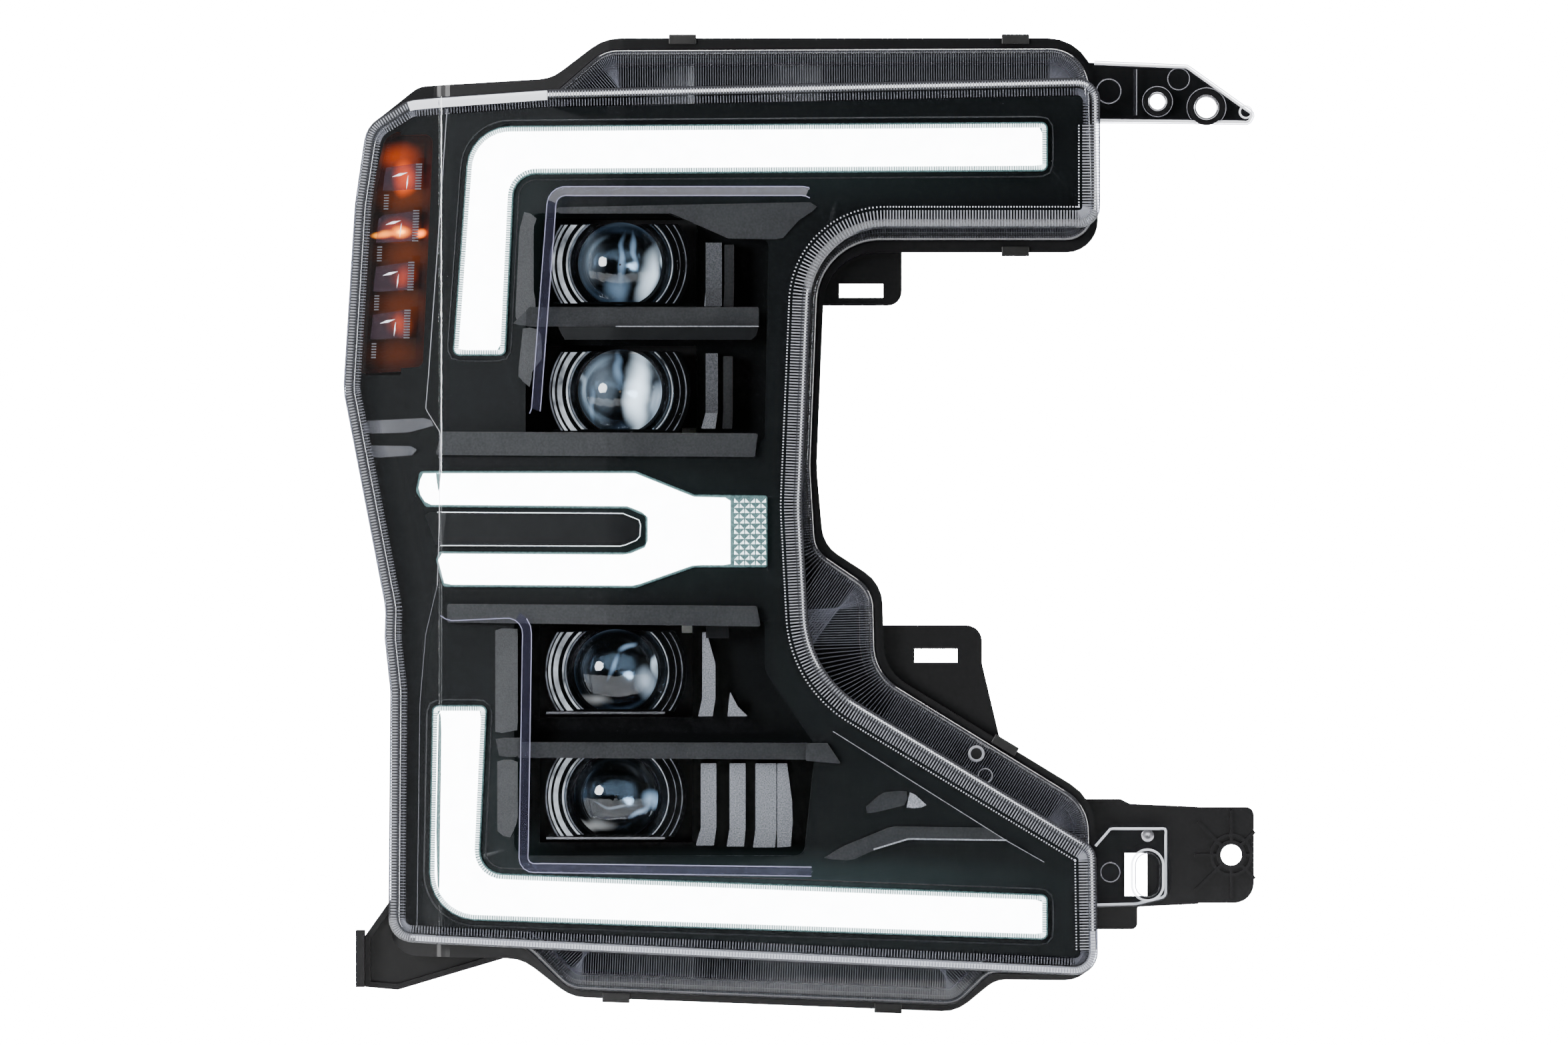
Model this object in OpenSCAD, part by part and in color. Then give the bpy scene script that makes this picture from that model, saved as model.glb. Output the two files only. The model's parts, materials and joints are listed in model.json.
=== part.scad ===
// Car headlight assembly: a clear lens sealed to a black housing, three light bars, an amber
// side marker and two tilting carriers with two projectors each.
// Working frame: X to the right and Z up as seen from the front, Y to the rear, in millimetres.
// The rows at the end move it so that the upper bolt hole's front rim is the origin.

/* [Lens] */
// Wall of the clear lens
lens_wall = 3; // [2:0.5:3.5]
// Depth of the free space between the lens's outer face and the bezel
bezel_depth = 14; // [13:1:16]

/* [Housing] */
// Wall of the black housing
case_wall = 2.5; // [2:0.5:3]
// Rear face of the housing's deep box
case_back = 175; // [172:1:180]

/* [Projectors] */
// Radius of a projector's glass lens
glass_r = 25; // [22:0.5:26]
// Half the height at which lens and shroud are cut flat
cut_half = 20.5; // [18:0.5:21]
// Outer radius of a shroud's last ring
shroud_r = 36; // [33:0.5:37]

/* [Aiming] */
// Distance from the tilt axis to the adjuster's ball
lever = 60; // [58:1:62]
// Radius of the pivot pins
pin_r = 3; // [2.5:0.1:3.5]
// Running clearance round pins, screws and bushes
run_gap = 0.06; // [0.03:0.01:0.09]

/* [Mounts] */
// Radius of the upper bolt hole
bolt_r = 5.3; // [4.5:0.1:5.5]
// Radius of the upper locating hole
locator_r = 3.9; // [3.5:0.1:4.2]
// Radius of the lower bracket's bolt hole
lower_bolt_r = 5.4; // [4.5:0.1:5.6]
// Radius of the corner bracket's hole
corner_r = 3.5; // [3:0.1:4]

/* [Hidden] */
$fn = 48;
arc_step = 15;   // degrees of each facet on a rounded corner
near = -60;      // prisms that a slab trims run from here
far = 260;       // to here
reach = 300;     // half the height of a slab

// Outlines: corners [x, z, corner radius], anticlockwise as seen from the front
plateau = [
    [-176.5, -212, 12], [186, -229.5, 12], [185, -164, 10], [39.5, -75, 55], [35, 10, 100],
    [41, 152, 38], [187, 152, 11], [187, 229, 12], [-95, 223, 80], [-166, 218, 14],
    [-188, 205, 16], [-194, 165, 60], [-200, 70, 24], [-178, -42, 24], [-178.5, -57, 12],
    [-175.5, -84, 20]
];
skirt = [
    [-173.5, -210, 10], [-106, -214.5, 16], [-84, -236.5, 16], [114, -244.5, 14], [131, -228, 10],
    [183, -229, 11], [181.5, -142, 24], [72.5, -75, 26], [71.5, -32, 18], [42, -12, 14],
    [39.5, 30, 60], [44, 146, 32], [184, 146, 14], [181, 244.5, 20], [-66, 243.5, 18],
    [-93, 220, 16], [-164, 215, 12], [-185, 203, 14], [-191, 165, 60], [-197, 70, 24],
    [-175, -42, 24], [-175.5, -57, 12], [-172.5, -84, 20]
];
rim = [
    [-175.5, -219.5, 14], [-108, -221, 22], [-83, -240.5, 22], [114, -248, 20], [134, -231.5, 14],
    [185.5, -232, 16], [184.5, -139, 26], [77, -73.5, 23], [76, -29, 20], [46, -9.5, 18],
    [42.5, 30, 60], [47, 140, 26], [186.5, 140, 16], [184, 249.5, 24], [-66, 249.5, 24],
    [-93, 229, 20], [-161, 225, 12], [-187.5, 204.7, 15], [-193.5, 165, 60], [-199.5, 70, 24],
    [-177.5, -42, 24], [-178, -57, 12], [-175, -84, 20]
];
deep = [[-146, -186, 16], [24, -186, 16], [24, 184, 16], [-140, 184, 16]];
upper_bar = [
    [-143, 87.5, 3], [-116.5, 87.5, 3], [-112, 180, 12], [160, 181.5, 3], [160, 206, 3],
    [-134.5, 204, 22]
];
lower_bar = [
    [-155.5, -200, 24], [160, -210.5, 3], [160, -188, 3], [-130, -177, 12], [-126, -91.5, 3],
    [-153.5, -91.5, 3]
];
window = [
    [-109, -176, 7], [50, -178, 20], [150, -160, 10], [45, -92, 60], [22, -40, 60], [22, 60, 60],
    [25, 130, 40], [60, 173, 12], [-94, 173, 9], [-103, 54, 7], [-160, 54, 9], [-170, 40, 9],
    [-150, -48, 9], [-107, -46, 8]
];
fork = [
    [-148, -30.5, 2], [-50, -31, 2], [-20, -20.5, 2], [17, -20.5, 1], [17, 15.5, 1], [-20, 16, 2],
    [-50, 28, 2], [-160, 28, 2], [-162, 18, 3], [-157, 10.3, 2], [-54, 9.5, 2], [-44.5, 5.5, 2],
    [-44.5, -9.5, 2], [-54, -13.5, 2], [-150, -13, 1], [-151.5, -17, 1]
];
upper_bay = [
    [-106, 43, 4], [16, 43, 4], [18, 147, 4], [0, 147, 6], [-34, 160, 6], [-106, 160, 8]
];
lower_bay = [
    [-112, -168, 6], [36, -168, 5], [42, -112, 10], [16, -74, 14], [16, -47, 4], [-112, -47, 4]
];
marker_bay = [
    [-191, 80, 3], [-159, 82, 3], [-153.5, 200, 4], [-176, 200, 8], [-185, 165, 40]
];
upper_ear = [[170, 206, 2], [264, 205, 3], [267, 211, 3], [232, 236, 4], [170, 238.5, 2]];
lower_ear = [[170, -195, 2], [206, -194, 3], [222, -190, 4], [222, -153, 2], [192, -153, 2], [170, -178, 2]];
upper_tab = [[30, 113, 1], [86, 113, 7], [86, 154, 1], [30, 154, 1]];
lower_tab = [[60, -50.5, 1], [60, -112, 1], [137, -112, 1], [127, -70, 8], [127, -50.5, 8]];
bracket_arm = [
    [170, -206, 1], [206.5, -206, 3], [206.5, -194.5, 1], [238, -193, 1], [238, -143.5, 1],
    [203, -142, 3], [198, -139.5, 3], [170, -139.5, 1]
];
bracket_pad = [[234.5, -192.5, 1], [266, -192.5, 10], [266, -143.5, 4], [234.5, -143.5, 1]];
corner_web = [
    [-189, -236, 1], [-172, -237.5, 1], [-118, -221.5, 1], [-118, -195, 1], [-172, -186, 1],
    [-189, -210, 1]
];

// Plan curves: points [x, y, corner radius] from the left edge to the right
lens_curve = [[-208, 107, 0], [-150, 19, 3], [-60, 9, 150], [60, 3, 150], [205, 0, 0]];
step_curve = [[-208, 122, 0], [-150, 50, 3], [-60, 42, 150], [60, 37, 150], [205, 34, 0]];
seal_curve = [[-208, 138, 0], [-150, 66, 12], [-60, 58, 150], [60, 53, 150], [205, 50, 0]];
back_curve = [[-208, 158, 0], [-150, 150, 20], [-20, 128, 20], [40, 92, 20], [205, 86, 0]];

// Places
projectors = [[-58, 134], [-58, 69], [-60, -74], [-60, -138]];
tilt_y = 80;
upper_tilt_z = 102;
lower_tilt_z = -106;
adjuster_x = -18;
upper_ball_z = upper_tilt_z - lever;
lower_ball_z = lower_tilt_z + lever;
bezel_gap = 9;         // from the lens's outline in to the bezel's
marker_gap = 7.5;      // and to the marker's
panel_y = 64;          // front of the wall at the back of the projector bays
panel_t = 2;
plate_y = 92;          // front of a carrier's plate
plate_t = 3;
board_t = 1.6;
ball_r = 5;
screw_r = 3;
shaft_r = 4;
ear_y = 37;            // front of the lens's ears
boss_y = 36;           // front of the housing's bosses
bolt_at = [241.5, 214];
locator_at = [216.5, 217];
lower_bolt_at = [254.5, -168];
lens_slot_at = [211, -178];
slot_half = 4;         // half the straight part of the lens's slot
slot_r = 5.4;
pad_y = 62;            // front of the lower bracket's pad
corner_hole_at = [117, -221];   // y and z of the corner bracket's hole
socket_at = [-100, -100];
cover_at = [-88, 0];
driver_at = [-86, 118];

// Outline tools
function unit(v) = v / norm(v);
function left(v) = [-v[1], v[0]];
function cross2(a, b) = a[0] * b[1] - a[1] * b[0];
function flat(p) = [p[0], p[1]];
function before(l, i) = l[(i + len(l) - 1) % len(l)];
function after(l, i) = l[(i + 1) % len(l)];
function turned(v, a) = [v[0] * cos(a) - v[1] * sin(a), v[0] * sin(a) + v[1] * cos(a)];
function fillet(a, b, c, r) =
    let (u = unit(a - b), v = unit(c - b))
    r <= 0 || abs(cross2(u, v)) < 0.015 ? [b] :
    let (
        half = acos(u * v) / 2,
        centre = b + unit(u + v) * r / sin(half),
        start = b + u * r / tan(half) - centre,
        turn = 180 - 2 * half,
        side = cross2(v, u) > 0 ? 1 : -1,
        n = max(1, ceil(turn / arc_step))
    )
    [for (k = [0:n]) centre + turned(start, side * turn * k / n)];
function rounded(l) = [
    for (i = [0:len(l) - 1]) each fillet(flat(before(l, i)), flat(l[i]), flat(after(l, i)), l[i][2])
];
function inset(l, d) = [
    for (i = [0:len(l) - 1])
    let (
        a = flat(before(l, i)), b = flat(l[i]), c = flat(after(l, i)),
        n1 = left(unit(b - a)), n2 = left(unit(c - b)),
        sign = cross2(b - a, c - b) > 0 ? -1 : 1
    )
    concat(b + d * (n1 + n2) / (1 + n1 * n2), [max(0.4, l[i][2] + sign * d)])
];
function moved(l, d) = [for (p = l) [p[0], p[1] + d, p[2]]];
function backwards(l) = [for (i = [len(l) - 1:-1:0]) l[i]];
function depth_at(curve, x) = lookup(x, [for (p = curve) flat(p)]);
function along(path, step) = [
    for (i = [0:len(path) - 2])
    let (n = max(1, round(norm(path[i + 1] - path[i]) / step)))
    for (k = [0:n - 1]) path[i] + (path[i + 1] - path[i]) * k / n
];

// An outline run along Y
module prism(l, y0 = near, y1 = far)
    translate([0, y1, 0]) rotate([90, 0, 0]) linear_extrude(y1 - y0) polygon(rounded(l));

// The wall between two insets of an outline
module ring(l, outer, inner, y0 = near, y1 = far)
    difference() {
        prism(inset(l, outer), y0, y1);
        prism(inset(l, inner), y0 - 1, y1 + 1);
    }

// The space between two plan curves
module slab(front, d0, back, d1)
    translate([0, 0, -reach]) linear_extrude(2 * reach)
        polygon(rounded(concat(moved(front, d0), backwards(moved(back, d1)))));

// A round bar along Y
module bar(x, z, r, y0, y1)
    translate([x, y1, z]) rotate([90, 0, 0]) cylinder(r = r, h = y1 - y0);

// A round bar along X
module cross_bar(x0, x1, y, z, r)
    translate([x0, y, z]) rotate([0, 90, 0]) cylinder(r = r, h = x1 - x0);

module box(x0, x1, y0, y1, z0, z1)
    translate([x0, y0, z0]) cube([x1 - x0, y1 - y0, z1 - z0]);

module slot(at, r, half, y0, y1) {
    bar(at[0], at[1] - half, r, y0, y1);
    bar(at[0], at[1] + half, r, y0, y1);
    box(at[0] - r, at[0] + r, y0, y1, at[1] - half, at[1] + half);
}

// ---------- Lens and housing ----------

module front_lens() color([0.85, 0.88, 0.92, 0.35]) {
    step_hole = 6;
    difference() {
        union() {
            intersection() {
                difference() {
                    prism(plateau);
                    prism(window);
                }
                slab(lens_curve, 0, lens_curve, lens_wall);
            }
            intersection() {
                prism(inset(window, -lens_wall));
                slab(lens_curve, lens_wall - 0.5, lens_curve, 2 * lens_wall - 0.5);
            }
            intersection() {
                ring(plateau, 0, lens_wall);
                slab(lens_curve, 1, step_curve, lens_wall);
            }
            intersection() {
                difference() {
                    union() {
                        prism(plateau);
                        prism(skirt);
                    }
                    prism(inset(plateau, step_hole));
                }
                slab(step_curve, 0, step_curve, lens_wall);
            }
            intersection() {
                ring(skirt, 0, lens_wall);
                slab(step_curve, 1, seal_curve, -1.5);
            }
            difference() {
                union() {
                    prism(upper_ear, ear_y, ear_y + lens_wall);
                    prism(lower_ear, ear_y, ear_y + lens_wall);
                    slot(lens_slot_at, slot_r + 7, slot_half, ear_y - 4, ear_y + 7);
                }
                prism(inset(skirt, 1.5), near, far);
            }
        }
        bar(bolt_at[0], bolt_at[1], bolt_r + 4.2, 0, 60);
        bar(locator_at[0], locator_at[1], locator_r + 3.4, 0, 60);
        slot(lens_slot_at, slot_r, slot_half, 0, 60);
        bar(lens_screw_at[0], lens_screw_at[1], 1.9, 0, 60);
    }
}

module lens_seal() color([0.07, 0.07, 0.07])
    intersection() {
        ring(skirt, 0, 4.5);
        slab(seal_curve, -1.5, seal_curve, 0);
    }

module rear_housing() color([0.06, 0.06, 0.065])
    difference() {
        union() {
            intersection() {
                difference() {
                    prism(rim);
                    prism(inset(skirt, -0.3));
                }
                slab(seal_curve, -8, seal_curve, 3);
            }
            intersection() {
                difference() {
                    prism(rim);
                    prism(inset(skirt, 7.5));
                }
                slab(seal_curve, 0, seal_curve, 3);
            }
            intersection() {
                ring(skirt, 7.5 - case_wall, 7.5);
                slab(seal_curve, 1, back_curve, 3);
            }
            intersection() {
                difference() {
                    prism(inset(skirt, 7.5 - case_wall));
                    prism(inset(deep, case_wall));
                }
                slab(back_curve, 0, back_curve, 3);
            }
            intersection() {
                ring(deep, 0, case_wall, near, case_back);
                slab(back_curve, 1, [[-208, case_back, 0], [205, case_back, 0]], 0);
            }
            prism(deep, case_back - 3, case_back);
            housing_ears();
            tilt_posts(upper_tilt_z);
            tilt_posts(lower_tilt_z);
            adjuster_guide(upper_ball_z);
            adjuster_guide(lower_ball_z);
            housing_ribs();
            bezel_posts(false);
            lens_screw_post();
        }
        bar(bolt_at[0], bolt_at[1], bolt_r, 0, 80);
        bar(locator_at[0], locator_at[1], locator_r, 0, 80);
        box(54, 76.5, 50, 90, 117, 124);
        box(92.5, 114.5, 50, 90, -69.5, -62.5);
        for (z = [upper_ball_z, lower_ball_z])
            bar(adjuster_x, z, shaft_r + run_gap, 100, 200);
        for (z = [upper_tilt_z, lower_tilt_z])
            cross_bar(-130, 12, tilt_y, z, pin_r + 0.02);
        box(cover_at[0] - 30, cover_at[0] + 30, 160, 190, cover_at[1] - 20, cover_at[1] + 20);
        box(socket_at[0] - 12, socket_at[0] + 12, 160, 190, socket_at[1] - 6, socket_at[1] + 6);
        for (at = vents) bar(at[0], at[1], 4.8, 160, 190);
        bar(lens_screw_at[0], lens_screw_at[1], 1.8, 30, 56);
    }

vents = [[-118, -150], [0, 150]];
lens_screw_at = [124, -116];
// Where the bezel's posts stand on the housing's
stays = [[167.5, 176], [167.5, 217], [167.5, -180], [167.5, -215], [26, 60], [26, -30], [-165, 62], [-158, -62]];

// A post's lower half rises from the housing, and its upper half hangs from the bezel
module bezel_posts(hanging)
    for (at = stays) {
        foot = depth_at(back_curve, at[0]) + 1;
        meet = foot - 14;
        top = depth_at(lens_curve, at[0]) + bezel_depth + 1.5;
        if (hanging) bar(at[0], at[1], 3, top, meet);
        else bar(at[0], at[1], 4, meet, foot);
    }

module lens_screw_post()
    bar(lens_screw_at[0], lens_screw_at[1], 3.8, depth_at(step_curve, lens_screw_at[0]) + lens_wall + 0.2, 87);

module housing_ears() {
    difference() {
        union() {
            prism(upper_tab, 58, 61);
            prism(lower_tab, 58, 61);
            ring(upper_tab, 0, 3, 58, 74);
            ring(lower_tab, 0, 3, 58, 74);
        }
        prism(inset(skirt, 5.5));
    }
    difference() {
        union() {
            prism(inset(upper_ear, 1), ear_y + 7, ear_y + 12);
            bar(bolt_at[0], bolt_at[1], bolt_r + 3.7, boss_y, ear_y + 12);
            bar(locator_at[0], locator_at[1], locator_r + 2.9, boss_y, ear_y + 12);
        }
        prism(inset(skirt, -0.3));
    }
}

// Two posts that hold the pivot pins
module tilt_posts(z)
    for (x = [-124, 2]) box(x, x + 6, 72, case_back - 2, z - 8, z + 8);

// A square tube that keeps the adjuster's slider from turning, and the boss outside it
module adjuster_guide(z) {
    difference() {
        box(adjuster_x - 10, adjuster_x + 10, 114, case_back - 2, z - 9, z + 9);
        box(adjuster_x - 6.4, adjuster_x + 6.4, 110, case_back - 15, z - 6.4, z + 6.4);
    }
    bar(adjuster_x, z, 9, case_back - 1, case_back + 8);
}

// Stiffening ribs on the outside of the arms and of the deep box
module housing_ribs() {
    for (x = [60:24:156]) {
        box(x, x + 2.5, depth_at(back_curve, x) + 2, depth_at(back_curve, x) + 12, 156, 232);
        box(x, x + 2.5, depth_at(back_curve, x) + 2, depth_at(back_curve, x) + 12, -226, -152);
    }
    for (x = [-140, 14]) box(x, x + 2.5, case_back - 1, case_back + 6, -160, 165);
    for (z = [-165, -68, 70, 168]) box(-140, 16, case_back - 1, case_back + 6, z, z + 2.5);
}

// How far each rib round the lower bolt hole runs, from the right and clockwise
rib_ends = [11, 17, 23, 26, 19, 24, 23, 17];

module lower_bracket() color([0.05, 0.05, 0.055])
    difference() {
        union() {
            difference() {
                prism(bracket_arm, pad_y, pad_y + 26);
                prism(inset(bracket_arm, 3), pad_y + 3, pad_y + 30);
            }
            prism(bracket_pad, pad_y, pad_y + 8);
            for (a = [0:45:315])
                translate([lower_bolt_at[0], 0, lower_bolt_at[1]]) rotate([0, a, 0])
                    box(7, rib_ends[a / 45], pad_y - 2, pad_y + 1, -0.8, 0.8);
            difference() {
                bar(lower_bolt_at[0], lower_bolt_at[1], 11, pad_y - 2, pad_y + 1);
                bar(lower_bolt_at[0], lower_bolt_at[1], 9.4, pad_y - 3, pad_y);
            }
            bar(lower_bolt_at[0], lower_bolt_at[1], 7.6, pad_y - 2, pad_y + 8);
        }
        bar(lower_bolt_at[0], lower_bolt_at[1], lower_bolt_r, 0, 120);
        prism(inset(skirt, 5));
        box(150, 190, near, depth_at(seal_curve, 186) + 3.2, -240, -100);
        box(200, 211.5, 0, 120, -189, -167);
        difference() {
            box(150, 300, pad_y - 5, pad_y, -240, -100);
            prism(bracket_pad, pad_y - 6, pad_y + 1);
        }
    }

module corner_bracket() color([0.05, 0.05, 0.055])
    difference() {
        union() {
            prism(corner_web, 107, 111);
            ring(corner_web, 0, 3, 102, 128);
            box(-193.5, -189, 90, 128, -236, -207);
        }
        prism(inset(skirt, 5));
        cross_bar(-200, -180, corner_hole_at[0], corner_hole_at[1], corner_r);
    }

module vent_caps() color([0.1, 0.1, 0.1])
    for (at = vents) {
        bar(at[0], at[1], 4.7, case_back - 6, case_back + 2);
        difference() {
            bar(at[0], at[1], 11, case_back, case_back + 9);
            box(at[0] - 12, at[0] + 12, case_back + 6, case_back + 10, at[1] - 1.2, at[1] + 1.2);
            box(at[0] - 1.2, at[0] + 1.2, case_back + 6, case_back + 10, at[1] - 12, at[1] + 12);
        }
    }

module wiring_socket() color([0.13, 0.13, 0.14]) {
    translate([socket_at[0], 0, socket_at[1]]) {
        difference() {
            union() {
                box(-11.8, 11.8, case_back - 6, case_back + 2, -5.8, 5.8);
                box(-17, 17, case_back, case_back + 3, -12, 12);
                box(-14, 14, case_back + 2, case_back + 26, -9, 9);
                box(-4, 4, case_back + 6, case_back + 22, 8, 12);
            }
            box(-12, 12, case_back + 6, case_back + 30, -7, 7);
        }
        for (x = [-9:6:9]) for (z = [-3, 3])
            box(x - 0.4, x + 0.4, case_back - 5, case_back + 12, z - 0.4, z + 0.4);
    }
}

module driver_module() color([0.6, 0.6, 0.62])
    translate([driver_at[0], 0, driver_at[1]]) {
        y0 = case_back + 6;
        difference() {
            union() {
                box(-46, 46, y0, y0 + 6, -30, 30);
                for (z = [-28:8:28]) box(-36, 36, y0 + 5, y0 + 15, z - 1, z + 1);
                for (x = [-41, 41]) for (z = [-24, 24]) bar(x, z, 3.6, case_back, y0 + 1);
            }
            for (x = [-41, 41]) for (z = [-24, 24]) bar(x, z, 1.9, case_back - 1, y0 + 7);
        }
    }

module service_cover() color([0.08, 0.08, 0.08])
    translate([cover_at[0], 0, cover_at[1]]) {
        y0 = case_back + 1.6;
        difference() {
            union() {
                box(-40, 40, y0, y0 + 3, -29, 29);
                box(-34, 34, y0 + 2, y0 + 7, -23, 23);
            }
            for (x = [-36.5, 36.5]) for (z = [-25.5, 25.5]) bar(x, z, 1.9, y0 - 1, y0 + 4);
        }
        for (x = [-24:12:24]) box(x - 1, x + 1, y0 + 6, y0 + 10, -20, 20);
    }

module cover_seal() color([0.2, 0.2, 0.2])
    translate([cover_at[0], 0, cover_at[1]])
        difference() {
            box(-40, 40, case_back, case_back + 1.6, -29, 29);
            box(-31, 31, case_back - 1, case_back + 3, -21, 21);
            for (x = [-36.5, 36.5]) for (z = [-25.5, 25.5])
                bar(x, z, 1.9, case_back - 1, case_back + 4);
        }

// Pan-head screws, all the same, in the cover and the driver
module case_screws() color([0.75, 0.75, 0.78])
    for (s = concat(
        [for (x = [-36.5, 36.5]) for (z = [-25.5, 25.5]) [cover_at[0] + x, cover_at[1] + z, 4.6]],
        [for (x = [-41, 41]) for (z = [-24, 24]) [driver_at[0] + x, driver_at[1] + z, 12]]
    ))
        difference() {
            union() {
                bar(s[0], s[1], 3.2, case_back + s[2], case_back + s[2] + 2.2);
                bar(s[0], s[1], 1.8, case_back + 0.2, case_back + s[2] + 1);
            }
            box(s[0] - 2.4, s[0] + 2.4, case_back + s[2] + 1.2, case_back + s[2] + 4, s[1] - 0.4, s[1] + 0.4);
        }

// A pan-head screw through the lens's flange
module lens_screw() {
    y0 = depth_at(step_curve, lens_screw_at[0]) - 0.2;
    difference() {
        union() {
            bar(lens_screw_at[0], lens_screw_at[1], 4.2, y0 - 2.6, y0);
            bar(lens_screw_at[0], lens_screw_at[1], 1.75, y0 - 1, 54);
        }
        box(lens_screw_at[0] - 2.8, lens_screw_at[0] + 2.8, y0 - 4, y0 - 1.4, lens_screw_at[1] - 0.5, lens_screw_at[1] + 0.5);
        box(lens_screw_at[0] - 0.5, lens_screw_at[0] + 0.5, y0 - 4, y0 - 1.4, lens_screw_at[1] - 2.8, lens_screw_at[1] + 2.8);
    }
}

// Spring clips over the rim: [x, z, turn of the clip about Y]
clips = [
    [-26, 249.5, 0], [144, 249.5, 0], [144, 140, 180], [139, -111.3, 31.4], [79, -246.7, 182.2], [-60, -241.4, 182.2]
];

module lens_clips() color([0.1, 0.1, 0.1])
    for (c = clips)
        translate([c[0], depth_at(seal_curve, c[0]), c[1]]) rotate([0, c[2], 0]) {
            box(-7, 7, -10, 5, 0.5, 1.9);
            box(-7, 7, -10, -8.5, -3, 1);
            box(-7, 7, 3.5, 5, -3, 1);
        }

module pivot_pins() color([0.8, 0.8, 0.82])
    for (z = [upper_tilt_z, lower_tilt_z]) {
        cross_bar(-123, -106, tilt_y, z, pin_r);
        cross_bar(-10, 7, tilt_y, z, pin_r);
    }

module adjuster_seals() color([0.15, 0.15, 0.15])
    for (z = [upper_ball_z, lower_ball_z])
        difference() {
            bar(adjuster_x, z, 6.5, case_back + 8, case_back + 10);
            bar(adjuster_x, z, shaft_r + run_gap, case_back, case_back + 20);
        }

// ---------- Bezel and trims ----------

module bezel() color([0.04, 0.04, 0.045])
    difference() {
        union() {
            intersection() {
                prism(inset(plateau, bezel_gap));
                slab(lens_curve, bezel_depth, lens_curve, bezel_depth + 2.5);
            }
            intersection() {
                ring(plateau, bezel_gap, bezel_gap + 2);
                slab(lens_curve, bezel_depth + 1, seal_curve, -2);
            }
            for (bay = [upper_bay, lower_bay]) intersection() {
                ring(bay, -2, 0, near, panel_y + panel_t);
                slab(lens_curve, bezel_depth + 1, [[-208, 200, 0], [205, 200, 0]], 0);
            }
            for (bay = [upper_bay, lower_bay]) prism(inset(bay, -1), panel_y, panel_y + panel_t);
            bezel_posts(true);
        }
        prism(upper_bay, near, panel_y);
        prism(lower_bay, near, panel_y);
        for (l = [upper_bar, lower_bar, fork]) prism(inset(l, -0.4));
        prism(inset(marker_bay, -0.4));
        box(-230, -170, near, far, 77.5, 202.5);
        for (at = projectors)
            box(at[0] - shroud_r - 3, at[0] + shroud_r + 3, 40, 80, at[1] - cut_half - 3, at[1] + cut_half + 3);
    }

// Front lips and cross beams between the projectors
shelves = [
    [[-112, 104, 1], [-104, 102, 1], [13, 102.5, 1], [13, 112, 1], [-104, 112, 1]],
    [[-152, 36.5, 1], [11, 35.5, 1], [12.5, 47.5, 1], [-149, 48.5, 1]],
    [[-146, -49, 1], [14, -51, 1], [12, -40.5, 1], [-146, -39.5, 1]],
    [[-110, -118, 1], [40, -119, 1], [38, -110.5, 1], [-110, -110, 1]]
];
shelf_end = [[37, -119.5, 0.5], [55, -121, 0.5], [48, -110.5, 0.5], [37, -110.5, 0.5]];

module shelf_trims() color([0.16, 0.16, 0.17]) {
    slat_bars(dark_slats);
    intersection() {
        prism(shelf_end);
        slab(lens_curve, bezel_depth - 7, lens_curve, bezel_depth);
    }
    for (i = [1, 2]) intersection() {
        prism(shelves[i]);
        slab(lens_curve, bezel_depth - 7, lens_curve, bezel_depth);
    }
    difference() {
        union() {
            prism(shelves[0], 24, 33);
            box(-105, 12, 32, panel_y, 105, 109);
        }
        difference() {
            box(-300, 300, near, far, -300, 300);
            prism(inset(upper_bay, 0.3), near, far + 1);
        }
    }
    difference() {
        union() {
            prism(shelves[3], 24, 33);
            box(-111, 38, 32, panel_y, -114, -110.5);
        }
        difference() {
            box(-300, 300, near, far, -300, 300);
            prism(inset(lower_bay, 0.3), near, far + 1);
        }
    }
}

// Upright slats beside the projectors: [left, right, bottom, top, foot's lean to the left]
slats = [
    [-14, -6, 112.5, 145, 1], [-14, -8, 50, 88.5, 2.5],
    [-16.7, -8.7, -163, -121, 2.5], [-2, 6.2, -163.5, -121, 1.5], [11.2, 21.9, -164, -121, 1.2]
];
dark_slats = [[-4.6, 0.3, 112.5, 144, 0.5], [-5.2, -0.4, 50, 87, 0.5]];
// Slats that aren't straight bars
slat_shapes = [
    [[-18, -97, 0.4], [-10.6, -97, 0.4], [-9.2, -88, 6], [-9.2, -70, 12], [-13.7, -54, 0.4],
        [-15.9, -54, 0.4], [-16, -88, 6]],
    [[-3, -97, 0.3], [7.4, -97, 0.3], [2.2, -92, 4], [-1.7, -84.5, 0.2], [-2.4, -90, 6]],
    [[22.3, -164, 0.3], [29.3, -163.5, 0.4], [30.7, -146, 50], [27.4, -121, 0.4], [22.3, -121, 0.3]]
];

module slat_bars(list)
    for (s = list)
        prism([
            [s[0] - s[4], s[2], 0.4], [s[1] - s[4] / 2, s[2], 0.4], [s[1], s[2] + 9, 3],
            [s[1], s[3], 0.4], [s[0], s[3], 0.4], [s[0], s[2] + 9, 3]
        ], 46, panel_y);

module trim_slats() color([0.4, 0.41, 0.43]) {
    slat_bars(slats);
    for (l = slat_shapes) prism(l, 46, panel_y);
}

// ---------- Light bars ----------

// A light bar's face stands proud of the bezel, and its flange lies behind it
module diffuser(l, proud) color([0.97, 0.97, 1]) {
    intersection() {
        prism(l);
        slab(lens_curve, bezel_depth - proud, lens_curve, bezel_depth + 5);
    }
    intersection() {
        prism(inset(l, -2.3));
        slab(lens_curve, bezel_depth + 2.5, lens_curve, bezel_depth + 5);
    }
}

module tray(l) color([0.9, 0.9, 0.9])
    difference() {
        intersection() {
            prism(inset(l, -2.3));
            slab(lens_curve, bezel_depth + 5, lens_curve, bezel_depth + 22);
        }
        intersection() {
            prism(inset(l, -0.3));
            slab(lens_curve, bezel_depth, lens_curve, bezel_depth + 20);
        }
    }

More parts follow.
